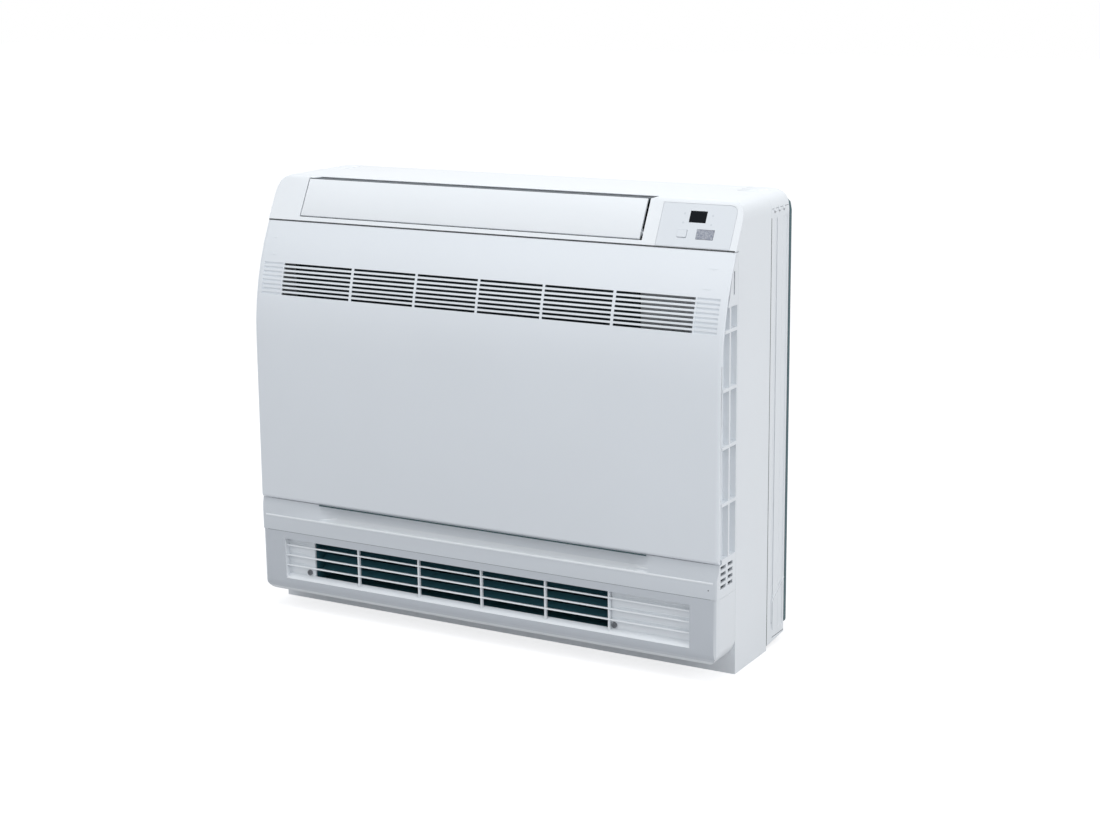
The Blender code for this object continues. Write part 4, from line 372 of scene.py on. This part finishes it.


# Painted shade: the forward faces of the outlet and the band take these greyer colours.
FRONT_SHADE_GREY = (0.545, 0.578, 0.620)
OUTLET_WHITE_FRONT_SHADED = front_shaded_finish("outlet_white_front_shaded", WHITE_ABS, FRONT_SHADE_GREY, "Y", -0.2, -0.1045)
BAND_SHADE_GREY = (0.640, 0.675, 0.715)
BAND_WHITE_FRONT_SHADED = front_shaded_finish("band_white_front_shaded", WHITE_ABS, BAND_SHADE_GREY, "Z", 0.1, 0.157)
CONTROL_WHITE = moulded("control_white", (0.70, 0.735, 0.775), 0.36)
BLADE_TEAL = moulded("outlet_blade_teal", (0.045, 0.150, 0.190), 0.42, 0.00004, 0.10)
# Painted shade: the next three finishes darken seams, gaps, slits and fine lines where shade falls.
PAINTED_SHADE_BLACK = moulded("painted_shade_black", (0.030, 0.034, 0.038), 0.60, 0.00004, 0.15)
PAINTED_SHADE_TEAL = moulded("painted_shade_teal", (0.020, 0.060, 0.070), 0.60, 0.00004, 0.15)
PAINTED_SHADE_GREY = moulded("painted_shade_grey", (0.22, 0.24, 0.26), 0.55, 0.00004, 0.10)
MARK_GREY = moulded("mark_grey", (0.60, 0.64, 0.68), 0.40, 0.00002, 0.05)
SCREW_GREY = moulded("screw_grey", (0.13, 0.14, 0.155), 0.45, 0.00002, 0.20)
OWN_FINISH = {
    "front_frame": BAND_WHITE_FRONT_SHADED,
    "control_panel": CONTROL_WHITE,
    "run_button": CONTROL_WHITE,
    "lower_grille": OUTLET_WHITE_FRONT_SHADED,
    "lower_duct": BLADE_TEAL,
    "lower_damper": BLADE_TEAL,
    "grille_screw_1": SCREW_GREY,
    "grille_screw_2": SCREW_GREY,
}
print(len(OWN_FINISH), "nodes have a finish of their own")

# %% Sheet steel, copper and brass


def plated(name, colour, rough, grain_depth, stretch):
    """Sheet metal: brush lines stretched along X, and blotches from the plating bath."""
    made = Finish(name)
    pulled = made.node("ShaderNodeMapping", Vector=made.place(), Scale=stretch)
    lines = made.node("ShaderNodeTexNoise", Vector=pulled, Scale=220.0, Detail=3.0)
    bath = made.noise(24.0, 3.0)
    made.set(Base_Color=made.mix(bath, tuple(value * 0.82 for value in colour), colour))
    made.set(Roughness=made.span(lines, 0.3, 0.7, rough - 0.08, rough + 0.10), Metallic=1.0)
    made.bump(lines, grain_depth)
    return made.material


FINISHES["zinc_steel"] = plated("zinc_sheet", (0.56, 0.58, 0.60), 0.38, 0.00002, (0.1, 1.0, 1.0))
FINISHES["copper"] = plated("drawn_copper", (0.80, 0.42, 0.26), 0.28, 0.00001, (0.1, 1.0, 1.0))
FINISHES["brass"] = plated("turned_brass", (0.80, 0.62, 0.30), 0.26, 0.00002, (1.0, 0.1, 1.0))
print("metals: zinc sheet, copper and brass")

# %% [markdown]
# The wall plate is sheet steel dipped in a dark teal primer, so its coat is dull with a
# slight orange-peel, and the plate's edge is what the picture shows behind the white casing.

# %% Primer, fins, net and circuit board
primer = Finish("teal_primer")
peel = primer.noise(420.0, 1.0)
primer.set(Base_Color=primer.mix(primer.noise(9.0), (0.012, 0.060, 0.075), (0.020, 0.082, 0.100)))
primer.set(Roughness=primer.span(peel, 0.3, 0.7, 0.42, 0.55))
primer.bump(peel, 0.00005)
FINISHES["teal_steel"] = primer.material

FIN_PITCH = 0.0016
fins = Finish("coated_fins")
phase = fins.math("FRACT", fins.along("X") / FIN_PITCH)
blade = fins.math("ABSOLUTE", phase - 0.5) * 2
fins.set(Base_Color=fins.mix(blade, (0.015, 0.050, 0.060), (0.16, 0.34, 0.38)), Metallic=0.4)
fins.set(Roughness=fins.span(fins.noise(60.0), 0.3, 0.7, 0.35, 0.5))
fins.bump(blade, 0.0006)
FINISHES["fin_aluminium"] = fins.material

NET_PITCH = 0.0022
THREAD_SHARE = 0.30
net = Finish("filter_net")


def threads(finish, axis):
    """1 on a thread and 0 between two.

    The fraction of the place along axis over the pitch is held against the thread's share."""
    return finish.math("FRACT", finish.along(axis) / NET_PITCH) < THREAD_SHARE


woven = net.math("MAXIMUM", threads(net, "X"), threads(net, "Z"))
net.set(Base_Color=net.mix(woven, (0.004, 0.008, 0.010), (0.020, 0.036, 0.044)), Roughness=0.7)
net.bump(woven, 0.0003)
FINISHES["filter_mesh"] = net.material

lacquer = Finish("board_lacquer")
blocks = {"distance": "MANHATTAN"}
tracks = lacquer.node("ShaderNodeTexVoronoi", settings=blocks, Vector=lacquer.place(), Scale=190.0)
on_track = tracks > 0.32
lacquer.set(Base_Color=lacquer.mix(on_track, (0.010, 0.110, 0.055), (0.020, 0.170, 0.085)), Roughness=0.35)
lacquer.bump(tracks, 0.00005)
FINISHES["circuit_board"] = lacquer.material

SLOT_OF = {entry["node"]: entry["material_slot"] for entry in frame["record"]["subparts"]}


def finish_of(node_name):
    """A node's own finish, or else that of its slot."""
    return OWN_FINISH.get(node_name, FINISHES[SLOT_OF[node_name]])


for node_name, solid in NODES.items():
    solid.data.materials.clear()
    solid.data.materials.append(finish_of(node_name))
print(len(FINISHES), "finishes on", len(NODES), "nodes")

# %% [markdown]
# ## Softened edges
# No moulding has a razor edge: the tool's own corners leave a radius of a few tenths of a
# millimetre, and that is what catches the light along every rim. The CAD meshes are loose
# triangles, so a copy of each is merged, its sharp edges get a small live bevel, and the rest
# is shaded smooth. The copy then stands for the node.

# %% Soft-edged copies of the mouldings
SHARP_ANGLE = math.radians(24)
FLAT_WITHIN = math.radians(0.5)
MERGE_WITHIN = 0.000005
SHORTEST_EDGE = 0.00008


def softened(node_name, radius, trim=(), warp=None):
    """Copies a node, merges its corners and rounds every edge sharper than SHARP_ANGLE by radius.

    Where edges lie close together, Blender narrows the bevel of the whole piece: on the front
    panel and its frame hardly any of it is left. A radius of 0 leaves the edges as they are.
    warp turns the array of the copy's points into their new places; trim holds (point, outward
    normal) of planes that then cut it."""
    source = NODES[node_name]
    mesh = source.data.copy()
    mesh.name = node_name + "_soft"
    if warp:
        places = np.empty(len(mesh.vertices) * 3)
        mesh.vertices.foreach_get("co", places)
        mesh.vertices.foreach_set("co", warp(places.reshape(-1, 3)).ravel())
    shape = bmesh.new()
    shape.from_mesh(mesh)
    bmesh.ops.remove_doubles(shape, verts=shape.verts, dist=MERGE_WITHIN)
    for point, outward in trim:
        everything = shape.verts[:] + shape.edges[:] + shape.faces[:]
        cut = bmesh.ops.bisect_plane(
            shape, geom=everything, plane_co=point, plane_no=outward, clear_outer=True
        )
        edges = [part for part in cut["geom_cut"] if isinstance(part, bmesh.types.BMEdge)]
        rim = [edge for edge in edges if edge.is_boundary]
        bmesh.ops.triangle_fill(shape, use_beauty=True, edges=rim)
        bmesh.ops.remove_doubles(shape, verts=shape.verts, dist=MERGE_WITHIN)
    bmesh.ops.recalc_face_normals(shape, faces=shape.faces)
    bmesh.ops.dissolve_limit(shape, angle_limit=FLAT_WITHIN, verts=shape.verts, edges=shape.edges)
    bmesh.ops.dissolve_degenerate(shape, dist=SHORTEST_EDGE, edges=shape.edges)
    for edge in shape.edges:
        edge.smooth = len(edge.link_faces) == 2 and edge.calc_face_angle(0) < SHARP_ANGLE
    for face in shape.faces:
        face.smooth = True
    shape.to_mesh(mesh)
    shape.free()
    piece = bpy.data.objects.new(node_name + "_soft", mesh)
    scene.collection.objects.link(piece)
    if radius:
        rounding = piece.modifiers.new("soft_edges", "BEVEL")
        rounding.width = radius
        rounding.segments = 2
        rounding.limit_method = "ANGLE"
        rounding.angle_limit = SHARP_ANGLE
        rounding.harden_normals = True
    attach(piece, source["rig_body"])
    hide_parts(node_name)
    print("softened", node_name)
    return piece


EDGE_RADIUS = 0.0005
for node_name in ("cabinet_shell", "front_frame", "control_panel"):
    softened(node_name, EDGE_RADIUS)

# %% [markdown]
# Three copies are also drawn to the picture more closely than the solids are. The rear case
# makes room for the ridges that lie on it. The outlet module reaches a little lower, has
# rounded lower corners, and its ribs and those between the panel's slots stand where the
# picture shows them. Each change is one function of the points' array, and the corners are
# cut by planes.

# %% Copies drawn closer to the picture
CASE_INSET = 0.0007
CHIN_CORNER = 0.027


def chin_planes(low, count=7):
    """Planes tangent to a quarter circle at each lower corner of the outlet module.

    low is the height at which the module ends."""
    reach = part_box("lower_grille")[1][0]
    planes = []
    for side in (-1, 1):
        centre = (side * (reach - CHIN_CORNER), 0.0, low + CHIN_CORNER)
        for turn in np.linspace(0, math.pi / 2, count + 2)[1:-1]:
            outward = Vector((side * math.cos(turn), 0.0, -math.sin(turn)))
            planes.append((Vector(centre) + outward * CHIN_CORNER, outward))
    return planes


def drawn_in(places):
    """Scales the rear case about the origin, so that its sides and top come in by CASE_INSET."""
    return places * (1 - CASE_INSET / np.array([CAD_BOX[1][0], math.inf, CAD_BOX[1][2]]))


def moved_ribs(places, inside, solid_ribs, real_ribs):
    """Moves the points inside from the ribs' places in the solid to the real ones.

    X changes in straight stretches from each rib to the next."""
    moved = places.copy()
    moved[inside, 0] = np.interp(places[inside, 0], solid_ribs, real_ribs)
    return moved


SLOT_ZONE = {"half": 0.3079, "low": 0.4420, "high": 0.4880}
SOLID_SLOT_RIBS = (-0.308, -0.2053, -0.1027, 0.0, 0.1027, 0.2053, 0.308)
REAL_SLOT_RIBS = (-0.308, -0.1952, -0.0946, 0.0010, 0.0967, 0.1976, 0.308)


def in_slots(places):
    """True for the points within the open slots' field."""
    wide = np.abs(places[:, 0]) < SLOT_ZONE["half"]
    return wide & (places[:, 2] > SLOT_ZONE["low"]) & (places[:, 2] < SLOT_ZONE["high"])


def panel_ribs(places):
    """The panel's points, with the ribs between the slots in their real places."""
    return moved_ribs(places, in_slots(places), SOLID_SLOT_RIBS, REAL_SLOT_RIBS)


SOLID_OUTLET_RIBS = (-0.2680, -0.1952, -0.0976, 0.0, 0.0976, 0.1930)
REAL_OUTLET_RIBS = (-0.2680, -0.1917, -0.0941, 0.0042, 0.1015, 0.1930)
MOUTH_FLOOR, MOUTH_TOP, MOUTH_SLACK = 0.0450, 0.1030, 0.0005
SOLID_CHIN, REAL_CHIN = 0.0275, 0.0215
RIB_BACK = -0.0745


def lower_module(places):
    """Moves the outlet's ribs, and stretches what lies under its mouth down to REAL_CHIN."""
    in_mouth = (places[:, 0] > REAL_OUTLET_RIBS[0]) & (places[:, 0] < REAL_OUTLET_RIBS[-1])
    in_mouth &= (places[:, 2] > MOUTH_FLOOR - MOUTH_SLACK) & (places[:, 2] < MOUTH_TOP)
    in_mouth &= places[:, 1] < RIB_BACK
    moved = moved_ribs(places, in_mouth, SOLID_OUTLET_RIBS, REAL_OUTLET_RIBS)
    under = np.minimum(places[:, 2] - MOUTH_FLOOR, 0)
    moved[:, 2] += under * ((MOUTH_FLOOR - REAL_CHIN) / (MOUTH_FLOOR - SOLID_CHIN) - 1)
    return moved


softened("rear_case", EDGE_RADIUS, warp=drawn_in)
softened("lower_grille", 0, warp=lower_module, trim=chin_planes(REAL_CHIN))
louver = softened("upper_louver", EDGE_RADIUS)
panel = softened("front_panel", EDGE_RADIUS, warp=panel_ribs)

# %% [markdown]
# The walls of the slots see only the dark filter box behind them, so in the picture they
# are as dark as it is. That shade is painted: the faces within the slots' field whose
# normals turn up, down or sideways get the duct's own dark finish. The louver's right end,
# which stands in a dark gap, has the gap's shade painted on it as a black cap in the same way.

# %% Painted shade on the slots' walls and the louver's end
SLOT_WALL_NORMAL = 0.6
LOUVER_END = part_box("upper_louver")[1][0] - 0.001


def refaced(piece, finish, chosen):
    """Gives a second finish to the faces that chosen picks by the arrays of their centres and normals."""
    faces = piece.data.polygons
    centres, normals = np.empty((2, len(faces) * 3))
    faces.foreach_get("center", centres)
    faces.foreach_get("normal", normals)
    picked = chosen(centres.reshape(-1, 3), normals.reshape(-1, 3))
    piece.data.materials.append(finish)
    faces.foreach_set("material_index", picked.astype(np.int32))
    print(piece.name, "has", int(picked.sum()), "of", len(picked), "faces in", finish.name)


def shaded_slot_walls(centres, normals):
    """True for a face in the slots' field whose normal's Y is under SLOT_WALL_NORMAL either way."""
    return in_slots(centres) & (np.abs(normals[:, 1]) < SLOT_WALL_NORMAL)


def shaded_louver_end(centres, normals):
    """True for a face of the louver's end that looks to the right."""
    return (centres[:, 0] > LOUVER_END) & (normals[:, 0] > 0.9)


# Painted shade: dark finishes on the slots' walls and on the louver's right end.
refaced(panel, FINISHES["dark_plastic"], shaded_slot_walls)
refaced(louver, PAINTED_SHADE_BLACK, shaded_louver_end)

# %% [markdown]
# ## Ridges and lines on the rear case
# The rear case has three low ridges over its rounded top corners, upright steps down its
# sides, and at the bottom a slit and a knock-out line where a pipe may leave. The ridges,
# steps and knock-out line are thin strips of the same plastic; the slit and a thin line
# beside the knock-out line are grey strips that paint the shade in them. Each is a flat
# profile carried along a path that follows the outline of the case.

# %% A strip carried along a path


def new_piece(name, points, faces, finish, body, smooth=True):
    """Puts arrays of points and faces into a mesh, and lets the piece ride on a body."""
    mesh = bpy.data.meshes.new(name)
    corners = [tuple(int(index) for index in face) for face in faces]
    mesh.from_pydata(np.asarray(points, float).tolist(), [], corners)
    shape = bmesh.new()
    shape.from_mesh(mesh)
    bmesh.ops.recalc_face_normals(shape, faces=shape.faces)
    shape.to_mesh(mesh)
    shape.free()
    if smooth:
        mesh.polygons.foreach_set("use_smooth", np.ones(len(mesh.polygons), bool))
    mesh.materials.append(finish)
    piece = bpy.data.objects.new(name, mesh)
    scene.collection.objects.link(piece)
    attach(piece, body)
    return piece


def grid_faces(rows, columns, wrap=False):
    """Quads between neighbours of a grid of rows by columns; wrap closes each row on itself."""
    row = np.arange(rows - 1)[:, None] * columns
    here = np.arange(columns if wrap else columns - 1)[None, :]
    after = (here + 1) % columns
    quads = np.stack([row + here, row + after, row + columns + after, row + columns + here], -1)
    return quads.reshape(-1, 4)


def swept(path, across, out, profile):
    """Carries a closed profile along a path.

    A point is path + across * u + out * v, for each (u, v) of the profile; both ends are closed."""
    path, across, out = (np.asarray(value, float) for value in (path, across, out))
    profile = np.asarray(profile, float)
    points = path[:, None] + across[:, None] * profile[None, :, :1] + out[:, None] * profile[None, :, 1:]
    count = len(profile)
    faces = list(grid_faces(len(path), count, wrap=True))
    last = (len(path) - 1) * count
    ends = [list(range(count))[::-1], list(range(last, last + count))]
    return points.reshape(-1, 3), [*map(list, faces), *ends]

# %% Ridges over the top corners
HANDS = {-1: "left", 1: "right"}
HALF_WIDTH, CASE_TOP = CAD_BOX[1][0], CAD_BOX[1][2]
CORNER = 0.025
RIDGE_PLACES = (0.056, 0.070, 0.084)
RIDGE_WIDTH, RIDGE_HEIGHT = 0.0048, 0.0007
RIDGE_LOW_END, RIDGE_INNER_END = CASE_TOP - 0.021, HALF_WIDTH - 0.052
SUNK = 0.0004


def low_ridge(width, height, count=7):
    """A half-round bump on a surface: u runs over the width and v = height * sin of its turn."""
    t = np.linspace(0, math.pi, count)
    top = np.stack([-width / 2 * np.cos(t), height * np.sin(t)], 1)
    return np.concatenate([top, [[width / 2, -SUNK], [-width / 2, -SUNK]]])


def over_corner(side, y, start_z, reach_x, count=12):
    """Path up a side face, round the top corner's quarter circle and in along the top."""
    t = np.linspace(0, math.pi / 2, count)
    reach, top = HALF_WIDTH - RIDGE_HEIGHT, CASE_TOP - RIDGE_HEIGHT
    x = np.concatenate([[reach], reach - CORNER * (1 - np.cos(t)), [reach_x]])
    z = np.concatenate([[start_z], top - CORNER * (1 - np.sin(t)), [top]])
    out = np.concatenate([[[1, 0]], np.stack([np.cos(t), np.sin(t)], 1), [[0, 1]]])
    path = np.stack([side * x, np.full_like(x, y), z], 1)
    normal = np.stack([side * out[:, 0], np.zeros(len(x)), out[:, 1]], 1)
    return path, normal


for side, hand in HANDS.items():
    for index, y in enumerate(RIDGE_PLACES):
        path, normal = over_corner(side, y, RIDGE_LOW_END, RIDGE_INNER_END)
        across = np.tile([0.0, 1.0, 0.0], (len(path), 1))
        points, faces = swept(path, across, normal, low_ridge(RIDGE_WIDTH, RIDGE_HEIGHT))
        name = f"top_ridge_{hand}_{index + 1}"
        new_piece(name, points, faces, FINISHES["white_abs"], "casing")
print("ridges over the corners:", len(HANDS) * len(RIDGE_PLACES))

# %% Steps down the rear case's sides
STEPS = ((0.0578, 0.030), (0.0647, 0.024), (0.0810, 0.024), (0.0960, 0.030))
STEP_TOP = CASE_TOP - 0.034
KNOCK_OUT = ((0.0600, 0.034), (0.0600, 0.060), (0.0630, 0.064), (0.1000, 0.086))
SLIT = ((0.0630, 0.0125), (0.1010, 0.0125))
KNOCK_OUT_SHADE_SHIFT = (0.0010, -0.0014)


def step_profile(width, height):
    """A flat-topped strip whose edges lean, so that each catches a thin line of light.

    v is -SUNK at the foot, a fifth of height at the edge and height over the middle half."""
    right_half = [(width / 4, height), (width / 2, height * 0.2), (width / 2, -SUNK)]
    left_half = [(-u, v) for u, v in right_half[::-1]]
    return left_half + right_half


def side_strip(name, side, places, width, height, finish=FINISHES["white_abs"]):
    """A strip along straight stretches of the side face, through (y, z) places."""
    places = np.asarray(places, float)
    path = np.column_stack([np.full(len(places), side * (HALF_WIDTH - RIDGE_HEIGHT)), places])
    along = np.gradient(places, axis=0)
    along /= np.linalg.norm(along, axis=1)[:, None]
    across = np.column_stack([np.zeros(len(places)), -along[:, 1], along[:, 0]])
    out = np.tile([float(side), 0.0, 0.0], (len(places), 1))
    points, faces = swept(path, across, out, step_profile(width, height))
    return new_piece(name, points, faces, finish, "casing", smooth=False)


for side, hand in HANDS.items():
    for index, (y, low) in enumerate(STEPS):
        side_strip(f"rear_step_{hand}_{index + 1}", side, [(y, low), (y, STEP_TOP)], 0.0011, 0.0003)
    side_strip(f"knock_out_line_{hand}", side, KNOCK_OUT, 0.0017, 0.00068)
    # Painted shade: a grey line beside the knock-out line, and a grey strip in the slit.
    groove = np.array(KNOCK_OUT) + KNOCK_OUT_SHADE_SHIFT
    side_strip(f"knock_out_shade_{hand}", side, groove, 0.0008, 0.0001, PAINTED_SHADE_GREY)
    side_strip(f"rear_slit_shade_{hand}", side, SLIT, 0.0012, 0.0001, PAINTED_SHADE_GREY)
print("side strips:", len(HANDS) * (len(STEPS) + 3))

# %% [markdown]
# The ridges start at a fine parting line, where the two halves of the mould met. It is painted
# as a grey strip of shade. It lies low on the rounded corner, so its strip leans with the
# corner's own normal.

# %% Parting lines on the top corners
PARTING_TURN = 0.20
PARTING_START, PARTING_END = 0.0475, 0.0990
LINE_HALF, LINE_PROUD = 0.0003, 0.00008
LINE_PROFILE = (
    (-LINE_HALF, -LINE_HALF), (LINE_HALF, -LINE_HALF),
    (LINE_HALF, LINE_PROUD), (-LINE_HALF, LINE_PROUD),
)
for side, hand in HANDS.items():
    outward = np.array([side * math.cos(PARTING_TURN), 0.0, math.sin(PARTING_TURN)])
    reach, top = HALF_WIDTH - RIDGE_HEIGHT - CORNER, CASE_TOP - RIDGE_HEIGHT - CORNER
    on_corner = np.array([side * reach, 0.0, top]) + CORNER * outward
    path = on_corner + [[0.0, PARTING_START, 0.0], [0.0, PARTING_END, 0.0]]
    across = np.tile([-side * math.sin(PARTING_TURN), 0.0, math.cos(PARTING_TURN)], (2, 1))
    points, faces = swept(path, across, np.tile(outward, (2, 1)), LINE_PROFILE)
    # Painted shade: a grey strip along the parting line.
    new_piece(f"parting_line_shade_{hand}", points, faces, PAINTED_SHADE_GREY, "casing", smooth=False)
print("parting lines turn", round(math.degrees(PARTING_TURN), 1), "degrees up the corner")

# %% [markdown]
# ## Small marks on the panel and the controls
# Plain raised arrows stand beside the panel's catches, and pale dots round the display. Each
# is a flat outline carried a little way along the normal of the surface under it. A ray that
# starts in front of the unit and runs back finds that surface and its normal.

# %% Marks raised from a surface
MARK_SUNK = 0.0001
RAY_START_Y = -0.3


def raised_mark(name, node_name, place, outline, height, finish):
    """A flat shape raised from a node's front, at place (x, z).

    The outline's (u, v) points lie in the surface's own plane, and are carried along its normal."""
    source = NODES[node_name]
    shape = bmesh.new()
    shape.from_mesh(source.data)
    start = Vector((place[0], RAY_START_Y, place[1]))
    spot, normal, _, _ = BVHTree.FromBMesh(shape).ray_cast(start, Vector((0, 1, 0)))
    shape.free()
    right = Vector((1, 0, 0))
    up = normal.cross(right).normalized()
    path = [spot - normal * MARK_SUNK, spot + normal * height]
    points, faces = swept(path, [right] * 2, [up] * 2, outline)
    return new_piece(name, points, faces, finish, source["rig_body"], smooth=False)


def arrow_outline(length, width, side):
    """A flat arrow along u towards side.

    The stem is a third as wide as the head, and each takes half the length."""
    stem, head = width / 6, width / 2
    half = [(-length / 2, stem), (0, stem), (0, head), (length / 2, 0)]
    outline = np.array(half + [(u, -v) for u, v in half[-2::-1]])
    return outline * (side, 1)


def round_outline(radius, count=16):
    """A regular polygon of count corners about the middle."""
    turn = np.linspace(0, 2 * math.pi, count, endpoint=False)
    return radius * np.stack([np.cos(turn), np.sin(turn)], 1)

# %% Arrows and dots
PANEL_MARKS = {
    "left_high": (-0.3330, 0.5185),
    "left_low": (-0.3300, 0.4970),
    "right_high": (0.3256, 0.5206),
    "right_low": (0.3213, 0.4970),
}
for name, place in PANEL_MARKS.items():
    outline = arrow_outline(0.0105, 0.0045, math.copysign(1, place[0]))
    raised_mark("panel_arrow_" + name, "front_panel", place, outline, 0.00035, FINISHES["pale_abs"])
window_low, window_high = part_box("display_window")
display_x, display_z = ((window_low[axis] + window_high[axis]) / 2 for axis in (0, 2))
DISPLAY_MARKS = [(-0.0185, 0.0050), (-0.0185, -0.0055), (0.0195, 0.0040), (0.0195, -0.0065)]
DOT_HEIGHT = 0.00012
for index, (across, rise) in enumerate(DISPLAY_MARKS):
    place = (display_x + across, display_z + rise)
    name = f"display_dot_{index + 1}"
    raised_mark(name, "control_panel", place, round_outline(0.0014), DOT_HEIGHT, MARK_GREY)
raised_mark("band_dot", "front_frame", (0.3370, 0.1247), round_outline(0.0009), DOT_HEIGHT, SCREW_GREY)
print("marks:", len(PANEL_MARKS) + len(DISPLAY_MARKS) + 1)

# %% [markdown]
# ## Painted shade in the seams, and the lip
# The wide seams of the casing read as dark lines in the picture. That is the shade inside
# them, and here a dark strip stands behind each and paints it. What closes the real ones
# can't be seen, so here a strip of dark foam stands behind each and gives that line. The band
# under the panel ends in a narrow shelf, which catches the light from above. All are profiles
# carried straight along the casing.

# %% Strips along X
NARROW_HALF, BAND_HALF = 0.3400, 0.3430
PANEL_GAP_SHADE = ((-0.06290, 0.54015), (-0.06200, 0.54190), (-0.06050, 0.54190), (-0.06050, 0.54015))
BAND_GAP_SHADE = ((-0.10720, 0.11275), (-0.10720, 0.11330), (-0.1050, 0.11330), (-0.1050, 0.11275))
LOUVER_GAP_SHADE = ((-0.0296, 0.5950), (-0.0292, 0.5964), (-0.0276, 0.5966), (-0.0276, 0.5950))
LIP = (
    (-0.10735, 0.1328), (-0.10740, 0.1340), (-0.10700, 0.1350),
    (-0.10600, 0.1355), (-0.10350, 0.1357), (-0.1030, 0.1328),
)


def along_x(name, profile, left, right, finish):
    """A closed (y, z) profile carried straight along X."""
    path = np.array([[left, 0.0, 0.0], [right, 0.0, 0.0]])
    across = np.tile([0.0, 1.0, 0.0], (2, 1))
    out = np.tile([0.0, 0.0, 1.0], (2, 1))
    points, faces = swept(path, across, out, profile)
    return new_piece(name, points, faces, finish, "casing", smooth=False)


# Painted shade: dark strips in the seams at the panel and the band, and in the gap over the louver.
along_x("panel_gap_shade", PANEL_GAP_SHADE, -0.3485, 0.3485, PAINTED_SHADE_BLACK)
along_x("band_gap_shade", BAND_GAP_SHADE, -NARROW_HALF, NARROW_HALF, PAINTED_SHADE_GREY)
along_x("louver_gap_shade", LOUVER_GAP_SHADE, -0.3000, 0.2220, PAINTED_SHADE_GREY)
along_x("band_lip", LIP, -BAND_HALF, BAND_HALF, FINISHES["white_abs"])
print("three shade strips and the lip")

# %% Painted shade up the side seams and under the panel
SEAM_Y, SEAM_LOW, SEAM_HIGH = 0.0445, 0.0070, 0.5680
SEAM_HALF, SEAM_DEPTH, SEAM_INSET = 0.00095, 0.0010, 0.00015
SEAM_PROFILE = ((-SEAM_HALF, -SEAM_DEPTH), (-SEAM_HALF, 0), (SEAM_HALF, 0), (SEAM_HALF, -SEAM_DEPTH))
for side, hand in HANDS.items():
    reach = side * (HALF_WIDTH - SEAM_INSET)
    path = [(reach, SEAM_Y, SEAM_LOW), (reach, SEAM_Y, SEAM_HIGH)]
    across = np.tile([0.0, 1.0, 0.0], (2, 1))
    out = np.tile([float(side), 0.0, 0.0], (2, 1))
    points, faces = swept(path, across, out, SEAM_PROFILE)
    new_piece(f"side_seam_shade_{hand}", points, faces, PAINTED_SHADE_BLACK, "casing", smooth=False)
UNDER_PANEL = ((-0.1061, 0.15795), (-0.1061, 0.1566), (-0.1045, 0.1566), (-0.1045, 0.15795))
along_x("panel_bottom_shade", UNDER_PANEL, -0.2520, 0.2500, PAINTED_SHADE_TEAL)
print("side seam shades:", len(HANDS), "and one under the panel")

# %% [markdown]
# ## Lower outlet
# Behind each white slat of the lower outlet sits a dark teal blade that rises to the back and
# turns the air. From above they fill the lower half of each gap. The recess ends below in a
# sloping sill with a groove, and closed plates at both ends carry low raised fields.

# %% Blades, sill and end plates
GAPS = 4
OUTLET = {"half": 0.3113, "left": -0.2680, "right": 0.1950, "low": 0.0450, "high": 0.1027}
GAP_HEIGHT = (OUTLET["high"] - OUTLET["low"]) / GAPS
slat_places = OUTLET["low"] + GAP_HEIGHT * np.arange(1, GAPS) + 0.0045
BLADE_FRONT, BLADE_END_GAP, BLADE_CURVE = -0.0868, 0.002, 1.6


def blade_profile(z, length=0.0120, rise=0.0042, thick=0.0010, count=7):
    """A curved blade that ends at height z.

    It rises with the share along it to the power BLADE_CURVE, and its under side is thick
    lower."""
    t = np.linspace(0, 1, count)
    y = BLADE_FRONT + length * t
    top = z - rise + rise * t**BLADE_CURVE
    return np.concatenate([np.stack([y, top], 1), np.stack([y, top - thick], 1)[::-1]])


blade_left, blade_right = OUTLET["left"] + BLADE_END_GAP, OUTLET["right"] - BLADE_END_GAP
for index, z in enumerate(slat_places):
    name = f"outlet_blade_{index + 1}"
    along_x(name, blade_profile(z), blade_left, blade_right, BLADE_TEAL)

SILL = (
    (-0.1068, 0.0448), (-0.1070, 0.0454), (-0.1040, 0.0478), (-0.1032, 0.0470),
    (-0.1026, 0.0480), (-0.0978, 0.0508), (-0.0965, 0.0508), (-0.0965, 0.0448),
)
along_x("outlet_sill", SILL, -OUTLET["half"], OUTLET["half"], OUTLET_WHITE_FRONT_SHADED)
PLATE_RIDGE = (
    (-0.0979, -0.0005), (-0.0981, 0.0), (-0.0979, 0.0005), (-0.0970, 0.0005), (-0.0970, -0.0005),
)
PLATE_ENDS = {"left": (-0.3095, -0.2830), "right": (0.2090, 0.3095)}
for index in range(GAPS):
    profile = np.array(PLATE_RIDGE) + (0, OUTLET["low"] + GAP_HEIGHT * (index + 0.5))
    for hand, (start, end) in PLATE_ENDS.items():
        along_x(f"plate_ridge_{hand}_{index + 1}", profile, start, end, OUTLET_WHITE_FRONT_SHADED)
print("blades:", len(slat_places), "and ridges:", GAPS * len(PLATE_ENDS))
